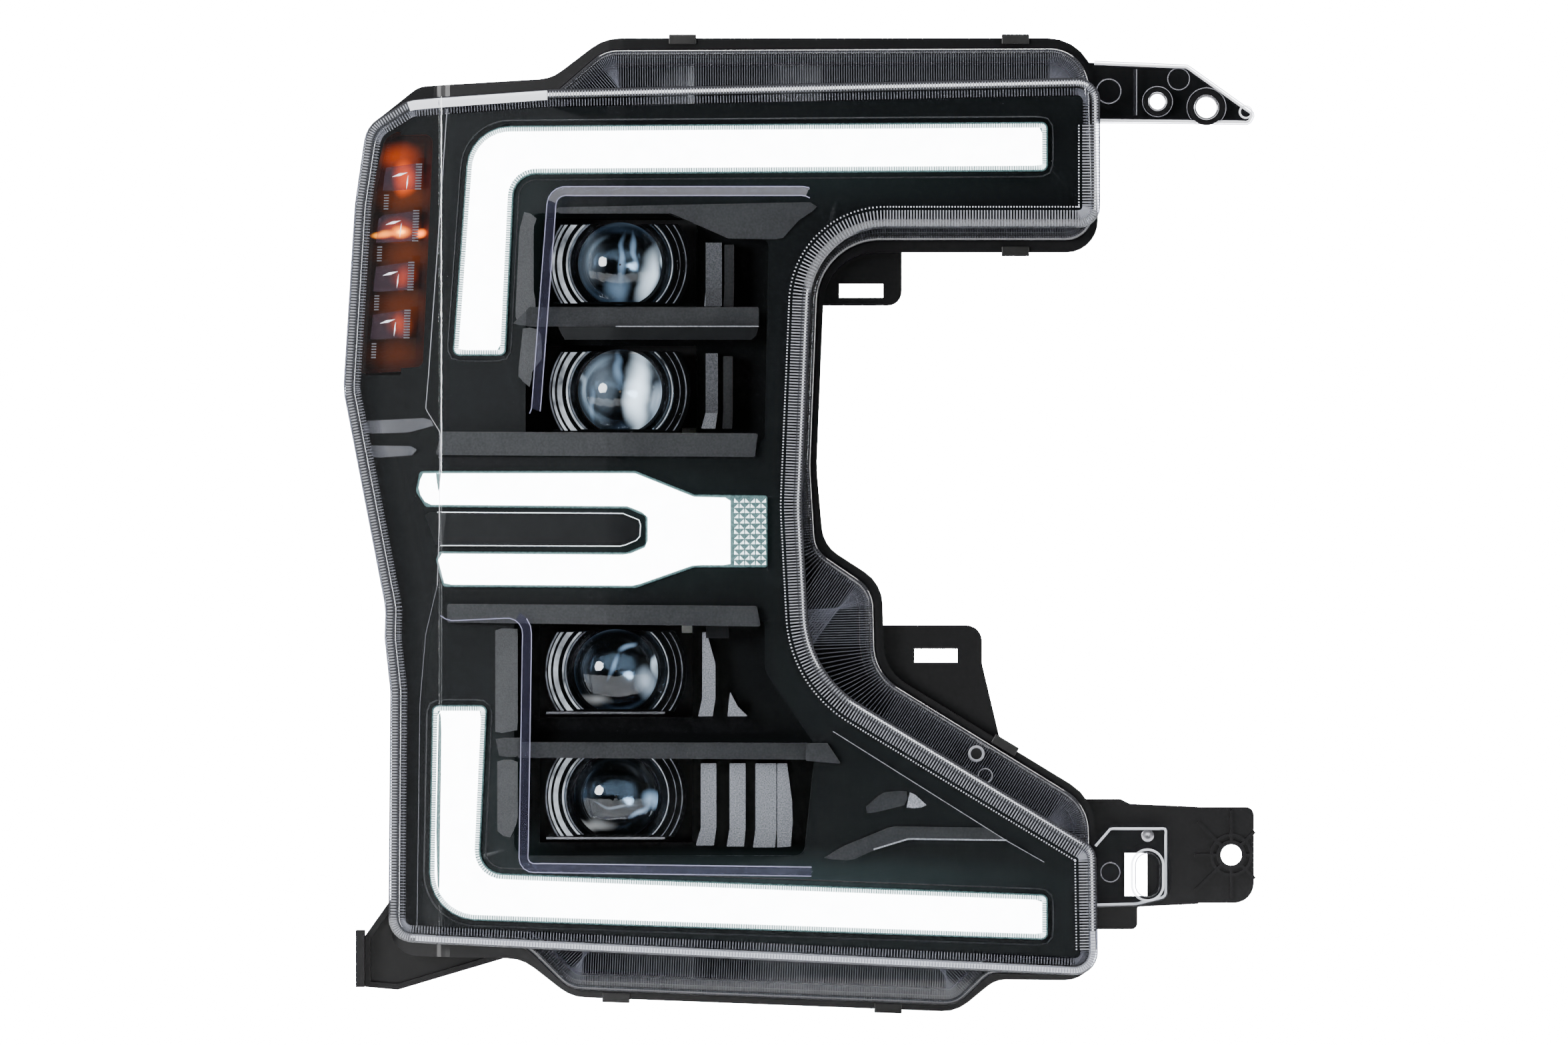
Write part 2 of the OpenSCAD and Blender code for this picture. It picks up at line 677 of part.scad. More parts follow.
// A board with its LEDs, which stand along a path
module led_strip(l, path, step) color([0.1, 0.35, 0.2]) {
    intersection() {
        prism(inset(l, 0.7));
        slab(lens_curve, bezel_depth + 18.4, lens_curve, bezel_depth + 20);
    }
    for (p = along(path, step))
        let (y = depth_at(lens_curve, p[0]) + bezel_depth + 18.6)
        box(p[0] - 1.75, p[0] + 1.75, y - 1.6, y, p[1] - 1.75, p[1] + 1.75);
}

upper_path = [[-130, 96], [-124, 180], [-112, 193], [152, 194]];
lower_path = [[-140, -98], [-142, -176], [-130, -188], [152, -199]];
fork_paths = [[[-142, 19], [-52, 19], [-30, 4], [8, 2]], [[-142, -22], [-52, -22], [-30, -8], [8, -8]]];

module marker_reflector() color([0.3, 0.12, 0.03])
    difference() {
        intersection() {
            prism(inset(marker_bay, -2));
            prism(inset(plateau, marker_gap));
            slab(lens_curve, bezel_depth + 4, lens_curve, bezel_depth + 20);
        }
        intersection() {
            prism(inset(marker_bay, 0));
            prism(inset(plateau, marker_gap + 2));
            slab(lens_curve, bezel_depth - 1, lens_curve, bezel_depth + 18);
        }
    }

// Lower corners of the four marker cells, and their size
marker_cells = [[-187, 95], [-186, 121], [-185, 146], [-183, 171]];
cell_w = 21;
cell_h = 16.5;

// An amber plate behind the bezel with four raised cells
module marker_lens() color([0.95, 0.45, 0.05, 0.6]) {
    intersection() {
        prism(inset(marker_bay, -2));
        prism(inset(plateau, marker_gap));
        slab(lens_curve, bezel_depth + 2.5, lens_curve, bezel_depth + 4);
    }
    for (c = marker_cells) intersection() {
        prism([
            [c[0], c[1], 0.5], [c[0] + cell_w, c[1] + 1.5, 0.5],
            [c[0] + cell_w + 1, c[1] + cell_h + 1, 0.5], [c[0] + 1, c[1] + cell_h - 2, 0.5]
        ]);
        prism(inset(marker_bay, 0.4));
        prism(inset(plateau, marker_gap + 0.5));
        slab(lens_curve, bezel_depth - 2, lens_curve, bezel_depth + 3);
    }
}

module marker_led_board() color([0.1, 0.35, 0.2]) {
    intersection() {
        prism(inset(marker_bay, 4));
        prism(inset(plateau, marker_gap + 3));
        slab(lens_curve, bezel_depth + 16.4, lens_curve, bezel_depth + 18);
    }
    for (c = marker_cells)
        let (x = c[0] + 13, y = depth_at(lens_curve, x) + bezel_depth + 15.2)
        box(x - 1.6, x + 1.6, y - 3.2, y, c[1] + 7, c[1] + 10.2);
}

// ---------- Projectors and carriers ----------

// Trims a projector piece flat above and below
module cut_flat(at, half)
    intersection() {
        children();
        box(at[0] - 60, at[0] + 60, near, far, at[1] - half, at[1] + half);
    }

module spun(at, y, profile)
    translate([at[0], y, at[1]]) rotate([-90, 0, 0]) rotate_extrude($fn = 72) polygon(profile);

// The glass: flat at the rear, and an arc in front
module projector_lens(at) color([0.8, 0.88, 0.95, 0.5]) {
    rise = 11;
    edge = 3;
    sphere_r = (glass_r * glass_r + rise * rise) / (2 * rise);
    cut_flat(at, cut_half - 1.3)
        spun(at, 42, concat(
            [[0, rise + edge], [glass_r, rise + edge], [glass_r, rise]],
            [for (a = [asin(glass_r / sphere_r):-6:5]) [sphere_r * sin(a), sphere_r * (1 - cos(a))]],
            [[0, 0]]
        ));
}

// Stepped rings round the glass, with a flat floor
module lens_shroud(at) color([0.5, 0.52, 0.55])
    cut_flat(at, cut_half) {
        spun(at, 38, [
            [glass_r + 0.3, 8], [glass_r + 2.5, 5], [glass_r + 2.5, 3], [glass_r + 4.5, 3],
            [glass_r + 4.5, 1], [shroud_r - 3, 1], [shroud_r - 3, 0], [shroud_r, 0],
            [shroud_r, 32], [shroud_r - 2, 32], [shroud_r - 2, 20], [glass_r - 2, 20],
            [glass_r - 2, 18], [glass_r + 0.3, 18]
        ]);
        box(at[0] - 34, at[0] + 30, 40, 70, at[1] - cut_half, at[1] - cut_half + 1.2);
    }

module projector_body(at) color([0.1, 0.1, 0.11])
    difference() {
        union() {
            cut_flat(at, cut_half - 0.2) bar(at[0], at[1], shroud_r - 1, 70, 75);
            bar(at[0], at[1], 19.8, 74, plate_y);
            box(at[0] - 29, at[0] + 29, plate_y - 4, plate_y, at[1] - cut_half, at[1] + cut_half);
        }
        spun(at, 70, [[0, -1], [22, -1], [22, 2], [17.5, 8], [16, 24], [0, 24]]);
        for (x = [-25, 25]) for (z = [-15, 15]) bar(at[0] + x, at[1] + z, 1.6, plate_y - 6, plate_y + 1);
    }

module led_board(at) color([0.75, 0.5, 0.3]) {
    box(at[0] - 20, at[0] + 20, plate_y + plate_t, plate_y + plate_t + board_t, at[1] - 18, at[1] + 18);
    box(at[0] - 5, at[0] + 5, plate_y + plate_t - 1.2, plate_y + plate_t + 0.2, at[1] - 3.5, at[1] + 3.5);
}

module heatsink(at) color([0.7, 0.7, 0.72]) {
    y0 = plate_y + plate_t + board_t;
    difference() {
        union() {
            box(at[0] - 28.5, at[0] + 28.5, y0, y0 + 5, at[1] - 19.5, at[1] + 19.5);
            for (x = [-25, 25]) for (z = [-15, 15]) bar(at[0] + x, at[1] + z, 3, plate_y + plate_t, y0 + 1);
        }
        for (x = [-25, 25]) for (z = [-15, 15]) bar(at[0] + x, at[1] + z, 1.5, plate_y, y0 + 6);
    }
    for (x = [-22:5.5:22]) box(at[0] + x - 0.9, at[0] + x + 0.9, y0 + 4.5, y0 + 46, at[1] - 19.5, at[1] + 19.5);
}

// Four screws hold a projector's body, the carrier and the heatsink together
module projector_screws(centres) color([0.75, 0.75, 0.78])
    for (at = centres) for (x = [-25, 25]) for (z = [-15, 15])
        difference() {
            union() {
                bar(at[0] + x, at[1] + z, 1.5, plate_y - 5, plate_y + plate_t + 5);
                bar(at[0] + x, at[1] + z, 2.8, plate_y - 6.2, plate_y - 4);
            }
            box(at[0] + x - 2, at[0] + x + 2, plate_y - 7, plate_y - 5.4, at[1] + z - 0.4, at[1] + z + 0.4);
        }

// A pressed plate with two windows, two side ears and an arm for the ball socket
module carrier(outline, centres, tilt_z, ball_z) color([0.12, 0.12, 0.13])
    difference() {
        union() {
            prism(outline, plate_y, plate_y + plate_t);
            box(-110, -107, tilt_y - 9, plate_y + 1, tilt_z - 10, tilt_z + 10);
            box(-9, -6, tilt_y - 9, plate_y + 1, tilt_z - 10, tilt_z + 10);
        }
        for (at = centres) {
            bar(at[0], at[1], 16, 80, 100);
            for (x = [-25, 25]) for (z = [-15, 15]) bar(at[0] + x, at[1] + z, 1.6, 80, 100);
        }
        cross_bar(-120, 0, tilt_y, tilt_z, 5);
        bar(adjuster_x, ball_z, 6.5, 80, 100);
    }

module pivot_bushes(tilt_z) color([0.9, 0.9, 0.85])
    for (x = [-110, -9])
        difference() {
            cross_bar(x, x + 3, tilt_y, tilt_z, 5);
            cross_bar(x - 5, x + 8, tilt_y, tilt_z, pin_r + run_gap);
        }

// Holds the adjuster's ball, and is open to the rear
module ball_socket(ball_z) color([0.9, 0.9, 0.85])
    difference() {
        box(adjuster_x - 8.5, adjuster_x + 8.5, tilt_y - 8, plate_y, ball_z - 8.5, ball_z + 8.5);
        translate([adjuster_x, tilt_y, ball_z]) sphere(r = ball_r + 0.15);
        bar(adjuster_x, ball_z, ball_r + 0.15, tilt_y, plate_y + 2);
    }

module adjuster_slider(ball_z) color([0.85, 0.85, 0.8])
    difference() {
        union() {
            translate([adjuster_x, tilt_y, ball_z]) sphere(r = ball_r);
            bar(adjuster_x, ball_z, screw_r, tilt_y, 112);
            box(adjuster_x - 6, adjuster_x + 6, 110, 138, ball_z - 6, ball_z + 6);
        }
        bar(adjuster_x, ball_z, screw_r + run_gap, 114, 150);
    }

module adjuster_screw(ball_z) color([0.7, 0.7, 0.72])
    difference() {
        union() {
            bar(adjuster_x, ball_z, screw_r, 118, 143);
            bar(adjuster_x, ball_z, shaft_r, 142, case_back + 11);
            bar(adjuster_x, ball_z, 8, case_back + 10.3, case_back + 12);
            translate([adjuster_x, case_back + 18, ball_z]) rotate([90, 0, 0]) cylinder(r = 6.5, h = 7, $fn = 6);
        }
        translate([adjuster_x, case_back + 19, ball_z]) rotate([90, 0, 0]) cylinder(r = 2.9, h = 6, $fn = 6);
    }

upper_plate = [[-110, 47, 4], [-28, 47, 1], [-28, 32, 3], [-6, 32, 3], [-6, 157, 4], [-110, 157, 4]];
lower_plate = [[-110, -161, 4], [-6, -161, 4], [-6, -36, 3], [-28, -36, 3], [-28, -51, 1], [-110, -51, 4]];

// ---------- Wiring ----------

// Routes of the inner leads, from the socket to each board
lead_routes = [
    [[-103, 166, -96], [-112, 160, -90], [-130, 154, -60], [-134, 152, 0], [-134, 152, 60], [-134, 148, 120],
     [-133, 130, 150], [-131, 90, 160], [-130, 62, 160]],
    [[-97, 166, -104], [-108, 160, -112], [-130, 154, -130], [-134, 140, -150], [-134, 100, -160], [-134, 62, -160]]
];
lead_r = 1.5;
lead_sides = 8;

function frame_side(d) = unit(cross(d, abs(d[0]) > 0.8 ? [0, 0, 1] : [1, 0, 0]));
module lead(path) {
    n = len(path);
    ways = [for (i = [0:n - 1]) unit(path[min(i + 1, n - 1)] - path[max(i - 1, 0)])];
    rings = [
        for (i = [0:n - 1])
        let (u = frame_side(ways[i]), v = cross(ways[i], u))
        for (k = [0:lead_sides - 1])
            path[i] + lead_r * (cos(360 * k / lead_sides) * u + sin(360 * k / lead_sides) * v)
    ];
    polyhedron(rings, concat(
        [[for (k = [0:lead_sides - 1]) k]],
        [for (i = [0:n - 2]) for (k = [0:lead_sides - 1])
            let (a = i * lead_sides + k, b = i * lead_sides + (k + 1) % lead_sides)
            [a, a + lead_sides, b + lead_sides, b]],
        [[for (k = [lead_sides - 1:-1:0]) (n - 1) * lead_sides + k]]
    ));
}
module wire_harness() color([0.1, 0.1, 0.1])
    for (r = lead_routes) lead(r);

// ---------- Nodes ----------

// Moves the working frame so that the upper bolt hole's front rim is the origin
module to_row() translate([-bolt_at[0], -boss_y, -bolt_at[1]]) children();

to_row() front_lens();
to_row() lens_seal();
to_row() rear_housing();
to_row() bezel();
to_row() shelf_trims();
to_row() trim_slats();
to_row() diffuser(upper_bar, 3);  // upper_diffuser
to_row() diffuser(lower_bar, 3);  // lower_diffuser
to_row() diffuser(fork, 5);  // blade_diffuser
to_row() tray(upper_bar);  // upper_tray
to_row() tray(lower_bar);  // lower_tray
to_row() tray(fork);  // blade_tray
to_row() led_strip(upper_bar, upper_path, 11);  // upper_led_board
to_row() led_strip(lower_bar, lower_path, 11);  // lower_led_board
to_row() {  // blade_led_board
    led_strip(fork, fork_paths[0], 12);
    led_strip(fork, fork_paths[1], 12);
}
to_row() marker_lens();
to_row() marker_reflector();
to_row() marker_led_board();
to_row() lower_bracket();
to_row() corner_bracket();
to_row() vent_caps();
to_row() wiring_socket();
to_row() driver_module();
to_row() service_cover();
to_row() cover_seal();
to_row() {
    case_screws();
    color([0.75, 0.75, 0.78]) lens_screw();
}
to_row() lens_clips();
to_row() pivot_pins();
to_row() adjuster_seals();
to_row() wire_harness();
to_row()  // upper_carrier
    carrier(upper_plate, [projectors[0], projectors[1]], upper_tilt_z, upper_ball_z);
to_row()  // lower_carrier
    carrier(lower_plate, [projectors[2], projectors[3]], lower_tilt_z, lower_ball_z);
to_row() {  // upper_carrier_inserts
    pivot_bushes(upper_tilt_z);
    ball_socket(upper_ball_z);
}
to_row() {  // lower_carrier_inserts
    pivot_bushes(lower_tilt_z);
    ball_socket(lower_ball_z);
}
to_row()  // upper_projector_screws
    projector_screws([projectors[0], projectors[1]]);
to_row()  // lower_projector_screws
    projector_screws([projectors[2], projectors[3]]);
for (i = [0:3]) {
    at = projectors[i];
    to_row() projector_lens(at);
    to_row() lens_shroud(at);
    to_row() projector_body(at);
    to_row() led_board(at);
    to_row() heatsink(at);
}
to_row() adjuster_screw(upper_ball_z);  // upper_adjuster_screw
to_row() adjuster_slider(upper_ball_z);  // upper_adjuster_slider
to_row() adjuster_screw(lower_ball_z);  // lower_adjuster_screw
to_row() adjuster_slider(lower_ball_z);  // lower_adjuster_slider
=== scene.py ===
"""Looks of a car headlight assembly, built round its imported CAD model."""
import json
import math

import bmesh
import bpy
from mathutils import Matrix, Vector


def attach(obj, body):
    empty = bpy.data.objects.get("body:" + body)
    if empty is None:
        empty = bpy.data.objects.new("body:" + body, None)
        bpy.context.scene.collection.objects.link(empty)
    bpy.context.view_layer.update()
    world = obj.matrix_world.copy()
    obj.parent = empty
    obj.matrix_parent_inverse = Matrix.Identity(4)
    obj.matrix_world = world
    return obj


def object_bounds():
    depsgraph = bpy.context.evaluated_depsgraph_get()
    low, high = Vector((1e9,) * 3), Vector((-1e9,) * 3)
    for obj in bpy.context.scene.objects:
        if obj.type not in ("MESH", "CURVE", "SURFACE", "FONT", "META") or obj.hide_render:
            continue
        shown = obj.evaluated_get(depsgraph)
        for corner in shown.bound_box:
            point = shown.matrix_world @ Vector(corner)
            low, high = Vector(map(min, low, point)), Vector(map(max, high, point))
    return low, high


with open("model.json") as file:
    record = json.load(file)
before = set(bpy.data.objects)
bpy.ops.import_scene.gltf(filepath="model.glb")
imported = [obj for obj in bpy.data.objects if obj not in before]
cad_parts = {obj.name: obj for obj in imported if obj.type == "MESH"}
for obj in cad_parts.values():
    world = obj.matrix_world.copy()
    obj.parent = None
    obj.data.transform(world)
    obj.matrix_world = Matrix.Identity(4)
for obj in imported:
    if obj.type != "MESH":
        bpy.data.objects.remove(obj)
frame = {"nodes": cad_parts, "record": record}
cad_box = [list(c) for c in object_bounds()]
NODES = frame["nodes"]

# The part's working frame: X right, Z up, Y to the rear, in millimetres; ORIGIN is the upper bolt
# hole's front rim, which is the row's origin.
ORIGIN = Vector((241.5, 36.0, 214.0))
BEZEL_DEPTH = 14.0             # how far the bezel's face lies behind the lens's face
STRAIGHT = 0.015               # a corner whose sine of turn is below this is left as it is
EAR_START = 184.0              # the ears' clear mouldings show to the right of this X


def row(x, y, z):
    return (Vector((x, y, z)) - ORIGIN) / 1000


# ---------------------------------------------------------------- camera
FOCAL = 800.0
SENSOR = 36.0
VIEW_WIDTH = 0.79968          # width of the view at the lamp's front, in metres
VIEW_CENTRE = (25.84, 20, 2.04)
camera_data = bpy.data.cameras.new("camera")
camera_data.lens = FOCAL
camera_data.sensor_width = SENSOR
camera_data.clip_end = 50
camera = bpy.data.objects.new("camera", camera_data)
bpy.context.scene.collection.objects.link(camera)
camera.location = row(*VIEW_CENTRE) - Vector((0, VIEW_WIDTH * FOCAL / SENSOR, 0))
camera.rotation_euler = (math.pi / 2, 0, 0)
bpy.context.scene.camera = camera


# ---------------------------------------------------------------- outlines, as in the part's source
PLATEAU = [
    [-176.5, -212, 12], [186, -229.5, 12], [185, -164, 10], [39.5, -75, 55], [35, 10, 100],
    [41, 152, 38], [187, 152, 11], [187, 229, 12], [-95, 223, 80], [-166, 218, 14],
    [-188, 205, 16], [-194, 165, 60], [-200, 70, 24], [-178, -42, 24], [-178.5, -57, 12],
    [-175.5, -84, 20],
]
SKIRT = [
    [-173.5, -210, 10], [-106, -214.5, 16], [-84, -236.5, 16], [114, -244.5, 14], [131, -228, 10],
    [183, -229, 11], [181.5, -142, 24], [72.5, -75, 26], [71.5, -32, 18], [42, -12, 14],
    [39.5, 30, 60], [44, 146, 32], [184, 146, 14], [181, 244.5, 20], [-66, 243.5, 18],
    [-93, 220, 16], [-164, 215, 12], [-185, 203, 14], [-191, 165, 60], [-197, 70, 24],
    [-175, -42, 24], [-175.5, -57, 12], [-172.5, -84, 20],
]
UPPER_BAR = [
    [-143, 87.5, 3], [-116.5, 87.5, 3], [-112, 180, 12], [160, 181.5, 3], [160, 206, 3],
    [-134.5, 204, 22],
]
LOWER_BAR = [
    [-155.5, -200, 24], [160, -210.5, 3], [160, -188, 3], [-130, -177, 12], [-126, -91.5, 3],
    [-153.5, -91.5, 3],
]
WINDOW = [
    [-109, -176, 7], [50, -178, 20], [150, -160, 10], [45, -92, 60], [22, -40, 60], [22, 60, 60],
    [25, 130, 40], [60, 173, 12], [-94, 173, 9], [-103, 54, 7], [-160, 54, 9], [-170, 40, 9],
    [-150, -48, 9], [-107, -46, 8],
]
FORK = [
    [-148, -30.5, 2], [-50, -31, 2], [-20, -20.5, 2], [17, -20.5, 1], [17, 15.5, 1], [-20, 16, 2],
    [-50, 28, 2], [-160, 28, 2], [-162, 18, 3], [-157, 10.3, 2], [-54, 9.5, 2], [-44.5, 5.5, 2],
    [-44.5, -9.5, 2], [-54, -13.5, 2], [-150, -13, 1], [-151.5, -17, 1],
]
LENS_CURVE = [[-208, 107, 0], [-150, 19, 3], [-60, 9, 150], [60, 3, 150], [205, 0, 0]]
STEP_CURVE = [[-208, 122, 0], [-150, 50, 3], [-60, 42, 150], [60, 37, 150], [205, 34, 0]]


def unit(v):
    length = math.hypot(*v)
    return (v[0] / length, v[1] / length)


def cross2(a, b):
    return a[0] * b[1] - a[1] * b[0]


def rounded(corners, step=6.0, closed=True):
    """The outline's points, with each corner turned into an arc of that radius."""
    out = []
    n = len(corners)
    for i, (bx, by, r) in enumerate(corners):
        if r <= 0 or (not closed and i in (0, n - 1)):
            out.append((bx, by))
            continue
        a, c = corners[i - 1], corners[(i + 1) % n]
        u = unit((a[0] - bx, a[1] - by))
        v = unit((c[0] - bx, c[1] - by))
        if abs(cross2(u, v)) < STRAIGHT:
            out.append((bx, by))
            continue
        half = math.acos(max(-1, min(1, u[0] * v[0] + u[1] * v[1]))) / 2
        m = unit((u[0] + v[0], u[1] + v[1]))
        cx, cy = bx + m[0] * r / math.sin(half), by + m[1] * r / math.sin(half)
        sx, sy = bx + u[0] * r / math.tan(half) - cx, by + u[1] * r / math.tan(half) - cy
        turn = math.pi - 2 * half
        side = 1 if cross2(v, u) > 0 else -1
        count = max(1, math.ceil(math.degrees(turn) / step))
        for k in range(count + 1):
            t = side * turn * k / count
            cos, sin = math.cos(t), math.sin(t)
            out.append((cx + sx * cos - sy * sin, cy + sx * sin + sy * cos))
    return out


def inset(corners, d):
    """The outline moved inwards by d, with its corner radii to match."""
    out = []
    n = len(corners)
    for i in range(n):
        a, b, c = corners[i - 1], corners[i], corners[(i + 1) % n]
        e1, e2 = unit((b[0] - a[0], b[1] - a[1])), unit((c[0] - b[0], c[1] - b[1]))
        n1, n2 = (-e1[1], e1[0]), (-e2[1], e2[0])
        k = d / (1 + n1[0] * n2[0] + n1[1] * n2[1])
        sign = -1 if cross2(e1, e2) > 0 else 1
        radius = max(0.4, b[2] + sign * d)
        out.append([b[0] + k * (n1[0] + n2[0]), b[1] + k * (n1[1] + n2[1]), radius])
    return out


def curve_points(curve):
    return rounded(curve, 3.0, closed=False)


LENS_LINE, STEP_LINE = curve_points(LENS_CURVE), curve_points(STEP_CURVE)


def depth(line, x):
    """Y of a plan curve at x."""
    if x <= line[0][0]:
        return line[0][1]
    for (x0, y0), (x1, y1) in zip(line, line[1:]):
        if x <= x1:
            return y0 + (y1 - y0) * (x - x0) / (x1 - x0)
    return line[-1][1]


def front(x):
    return depth(LENS_LINE, x)


def resampled(points, pitch, closed=True):
    """Evenly spaced points along a line of points, and the inward normal at each."""
    loop = points + points[:1] if closed else points
    lengths = [math.dist(a, b) for a, b in zip(loop, loop[1:])]
    total = sum(lengths)
    count = 2 * max(2, round(total / pitch / 2))
    out = []
    i, before = 0, 0.0
    for k in range(count + (0 if closed else 1)):
        s = total * k / count
        while i < len(lengths) - 1 and before + lengths[i] < s:
            before += lengths[i]
            i += 1
        t = (s - before) / lengths[i] if lengths[i] else 0
        (x0, y0), (x1, y1) = loop[i], loop[i + 1]
        e = unit((x1 - x0, y1 - y0))
        out.append((x0 + (x1 - x0) * t, y0 + (y1 - y0) * t, -e[1], e[0]))
    smooth = []
    n = len(out)
    for k, p in enumerate(out):
        around = range(k - 2, k + 3)
        near = [out[j % n] if closed else out[max(0, min(n - 1, j))] for j in around]
        m = unit((sum(q[2] for q in near), sum(q[3] for q in near)))
        smooth.append((p[0], p[1], m[0], m[1]))
    return smooth


def crosses(px, py, dx, dy, loop):
    """Distance from a point along a direction to the loop, or None."""
    best = None
    for (x0, y0), (x1, y1) in zip(loop, loop[1:] + loop[:1]):
        ex, ey = x1 - x0, y1 - y0
        det = dx * ey - dy * ex
        if abs(det) < 1e-9:
            continue
        t = ((x0 - px) * ey - (y0 - py) * ex) / det
        s = ((x0 - px) * dy - (y0 - py) * dx) / det
        if t > 1e-6 and 0 <= s <= 1 and (best is None or t < best):
            best = t
    return best


# ---------------------------------------------------------------- mesh helpers
def add_piece(name, verts, faces, material, body="lamp", smooth=False):
    mesh = bpy.data.meshes.new(name)
    mesh.from_pydata([tuple(row(*v)) for v in verts], [], faces)
    mesh.validate()
    mesh.update()
    for p in mesh.polygons:
        p.use_smooth = smooth
    mesh.materials.append(material)
    obj = bpy.data.objects.new(name, mesh)
    bpy.context.scene.collection.objects.link(obj)
    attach(obj, body)
    return obj


def grid_faces(columns, rows, closed):
    """Quads of a sheet whose points are listed column by column."""
    faces = []
    for c in range(columns if closed else columns - 1):
        d = (c + 1) % columns
        for r in range(rows - 1):
            faces.append((c * rows + r, c * rows + r + 1, d * rows + r + 1, d * rows + r))
    return faces


# ---------------------------------------------------------------- materials
def new_material(name):
    material = bpy.data.materials.new(name)
    material.use_nodes = True
    tree = material.node_tree
    tree.nodes.clear()
    return material, tree


def link(tree, a, b):
    tree.links.new(a, b)


def noise(tree, scale, detail):
    coords = tree.nodes.new("ShaderNodeTexCoord")
    node = tree.nodes.new("ShaderNodeTexNoise")
    node.inputs["Scale"].default_value = scale
    node.inputs["Detail"].default_value = detail
    node.inputs["Roughness"].default_value = 0.55
    link(tree, coords.outputs["Object"], node.inputs["Vector"])
    return node.outputs["Fac"]


def spread(tree, fac, low, high):
    """Noise, which mostly lies between 0.3 and 0.7, stretched from low to high."""
    node = tree.nodes.new("ShaderNodeMapRange")
    node.inputs["From Min"].default_value = 0.3
    node.inputs["From Max"].default_value = 0.7
    node.inputs["To Min"].default_value = low
    node.inputs["To Max"].default_value = high
    link(tree, fac, node.inputs["Value"])
    return node.outputs["Result"]


def blend_colours(tree, fac, a, b):
    node = tree.nodes.new("ShaderNodeMix")
    node.data_type = "RGBA"
    node.inputs["A"].default_value = (*a, 1)
    node.inputs["B"].default_value = (*b, 1)
    link(tree, fac, node.inputs["Factor"])
    return node.outputs["Result"]


def plastic(name, colour, rough, grain=900.0, bump=0.1, tone=0.25, metallic=0.0, specular=0.5,
            mottle=14.0, vary=0.2):
    """A moulded, painted or plated surface: fine grain, and uneven colour and gloss."""
    material, tree = new_material(name)
    shader = tree.nodes.new("ShaderNodeBsdfPrincipled")
    out = tree.nodes.new("ShaderNodeOutputMaterial")
    link(tree, shader.outputs["BSDF"], out.inputs["Surface"])
    shader.inputs["Metallic"].default_value = metallic
    shader.inputs["Specular IOR Level"].default_value = specular
    soft = spread(tree, noise(tree, mottle, 4.0), 0.0, 1.0)
    dark = tuple(c * (1 - tone) for c in colour)
    light = tuple(min(1, c * (1 + tone)) for c in colour)
    link(tree, blend_colours(tree, soft, dark, light), shader.inputs["Base Color"])
    if vary:
        low, high = max(0.02, rough * (1 - vary)), min(1, rough * (1 + vary))
        link(tree, spread(tree, noise(tree, 60.0, 5.0), low, high), shader.inputs["Roughness"])
    else:
        shader.inputs["Roughness"].default_value = rough
    if bump:
        node = tree.nodes.new("ShaderNodeBump")
        node.inputs["Strength"].default_value = bump
        node.inputs["Distance"].default_value = 0.0002
        link(tree, noise(tree, grain, 2.0), node.inputs["Height"])
        link(tree, node.outputs["Normal"], shader.inputs["Normal"])
    return material


def mirror_share(tree, straight_on):
    """The share of light that a clear surface reflects, by the angle, alike on both of its sides."""
    weight = tree.nodes.new("ShaderNodeLayerWeight")
    weight.inputs["Blend"].default_value = 0.5
    power = tree.nodes.new("ShaderNodeMath")
    power.operation = "POWER"
    power.inputs[1].default_value = 5.0
    link(tree, weight.outputs["Facing"], power.inputs[0])
    share = tree.nodes.new("ShaderNodeMath")
    share.operation = "MULTIPLY_ADD"
    share.inputs[1].default_value = 1 - straight_on
    share.inputs[2].default_value = straight_on
    link(tree, power.outputs["Value"], share.inputs[0])
    return share.outputs["Value"]


def clear(name, tint, haze=0.0, haze_colour=(0, 0, 0), rough=0.03, straight_on=0.04, strength=1.0):
    """See-through plastic: transparent, with reflections by the angle, and some haze."""
    material, tree = new_material(name)
    out = tree.nodes.new("ShaderNodeOutputMaterial")
    through = tree.nodes.new("ShaderNodeBsdfTransparent")
    through.inputs["Color"].default_value = (*tint, 1)
    gloss = tree.nodes.new("ShaderNodeBsdfGlossy")
    gloss.inputs["Roughness"].default_value = rough
    gloss.inputs["Color"].default_value = (strength, strength, strength, 1)
    mix = tree.nodes.new("ShaderNodeMixShader")
    link(tree, mirror_share(tree, straight_on), mix.inputs["Fac"])
    link(tree, through.outputs["BSDF"], mix.inputs[1])
    link(tree, gloss.outputs["BSDF"], mix.inputs[2])
    result = mix.outputs["Shader"]
    if haze:
        dull = tree.nodes.new("ShaderNodeBsdfDiffuse")
        dull.inputs["Color"].default_value = (*haze_colour, 1)
        over = tree.nodes.new("ShaderNodeMixShader")
        over.inputs["Fac"].default_value = haze
        link(tree, result, over.inputs[1])
        link(tree, dull.outputs["BSDF"], over.inputs[2])
        result = over.outputs["Shader"]
    link(tree, result, out.inputs["Surface"])
    return material


def glowing(name, colour, strength, base=(0.9, 0.92, 0.95), tone=0.5, scale=120.0):
    """A glowing surface, a little uneven: a lit diffuser of the lamp, or painted light on a part that is
    no lamp.
    """
    material, tree = new_material(name)
    shader = tree.nodes.new("ShaderNodeBsdfPrincipled")
    out = tree.nodes.new("ShaderNodeOutputMaterial")
    link(tree, shader.outputs["BSDF"], out.inputs["Surface"])
    shader.inputs["Base Color"].default_value = (*base, 1)
    shader.inputs["Roughness"].default_value = 0.25
    fac = spread(tree, noise(tree, scale, 2.0), 0.0, 1.0)
    dark = tuple(c * (1 - tone) for c in colour)
    link(tree, blend_colours(tree, fac, dark, colour), shader.inputs["Emission Color"])
    shader.inputs["Emission Strength"].default_value = strength
    return material


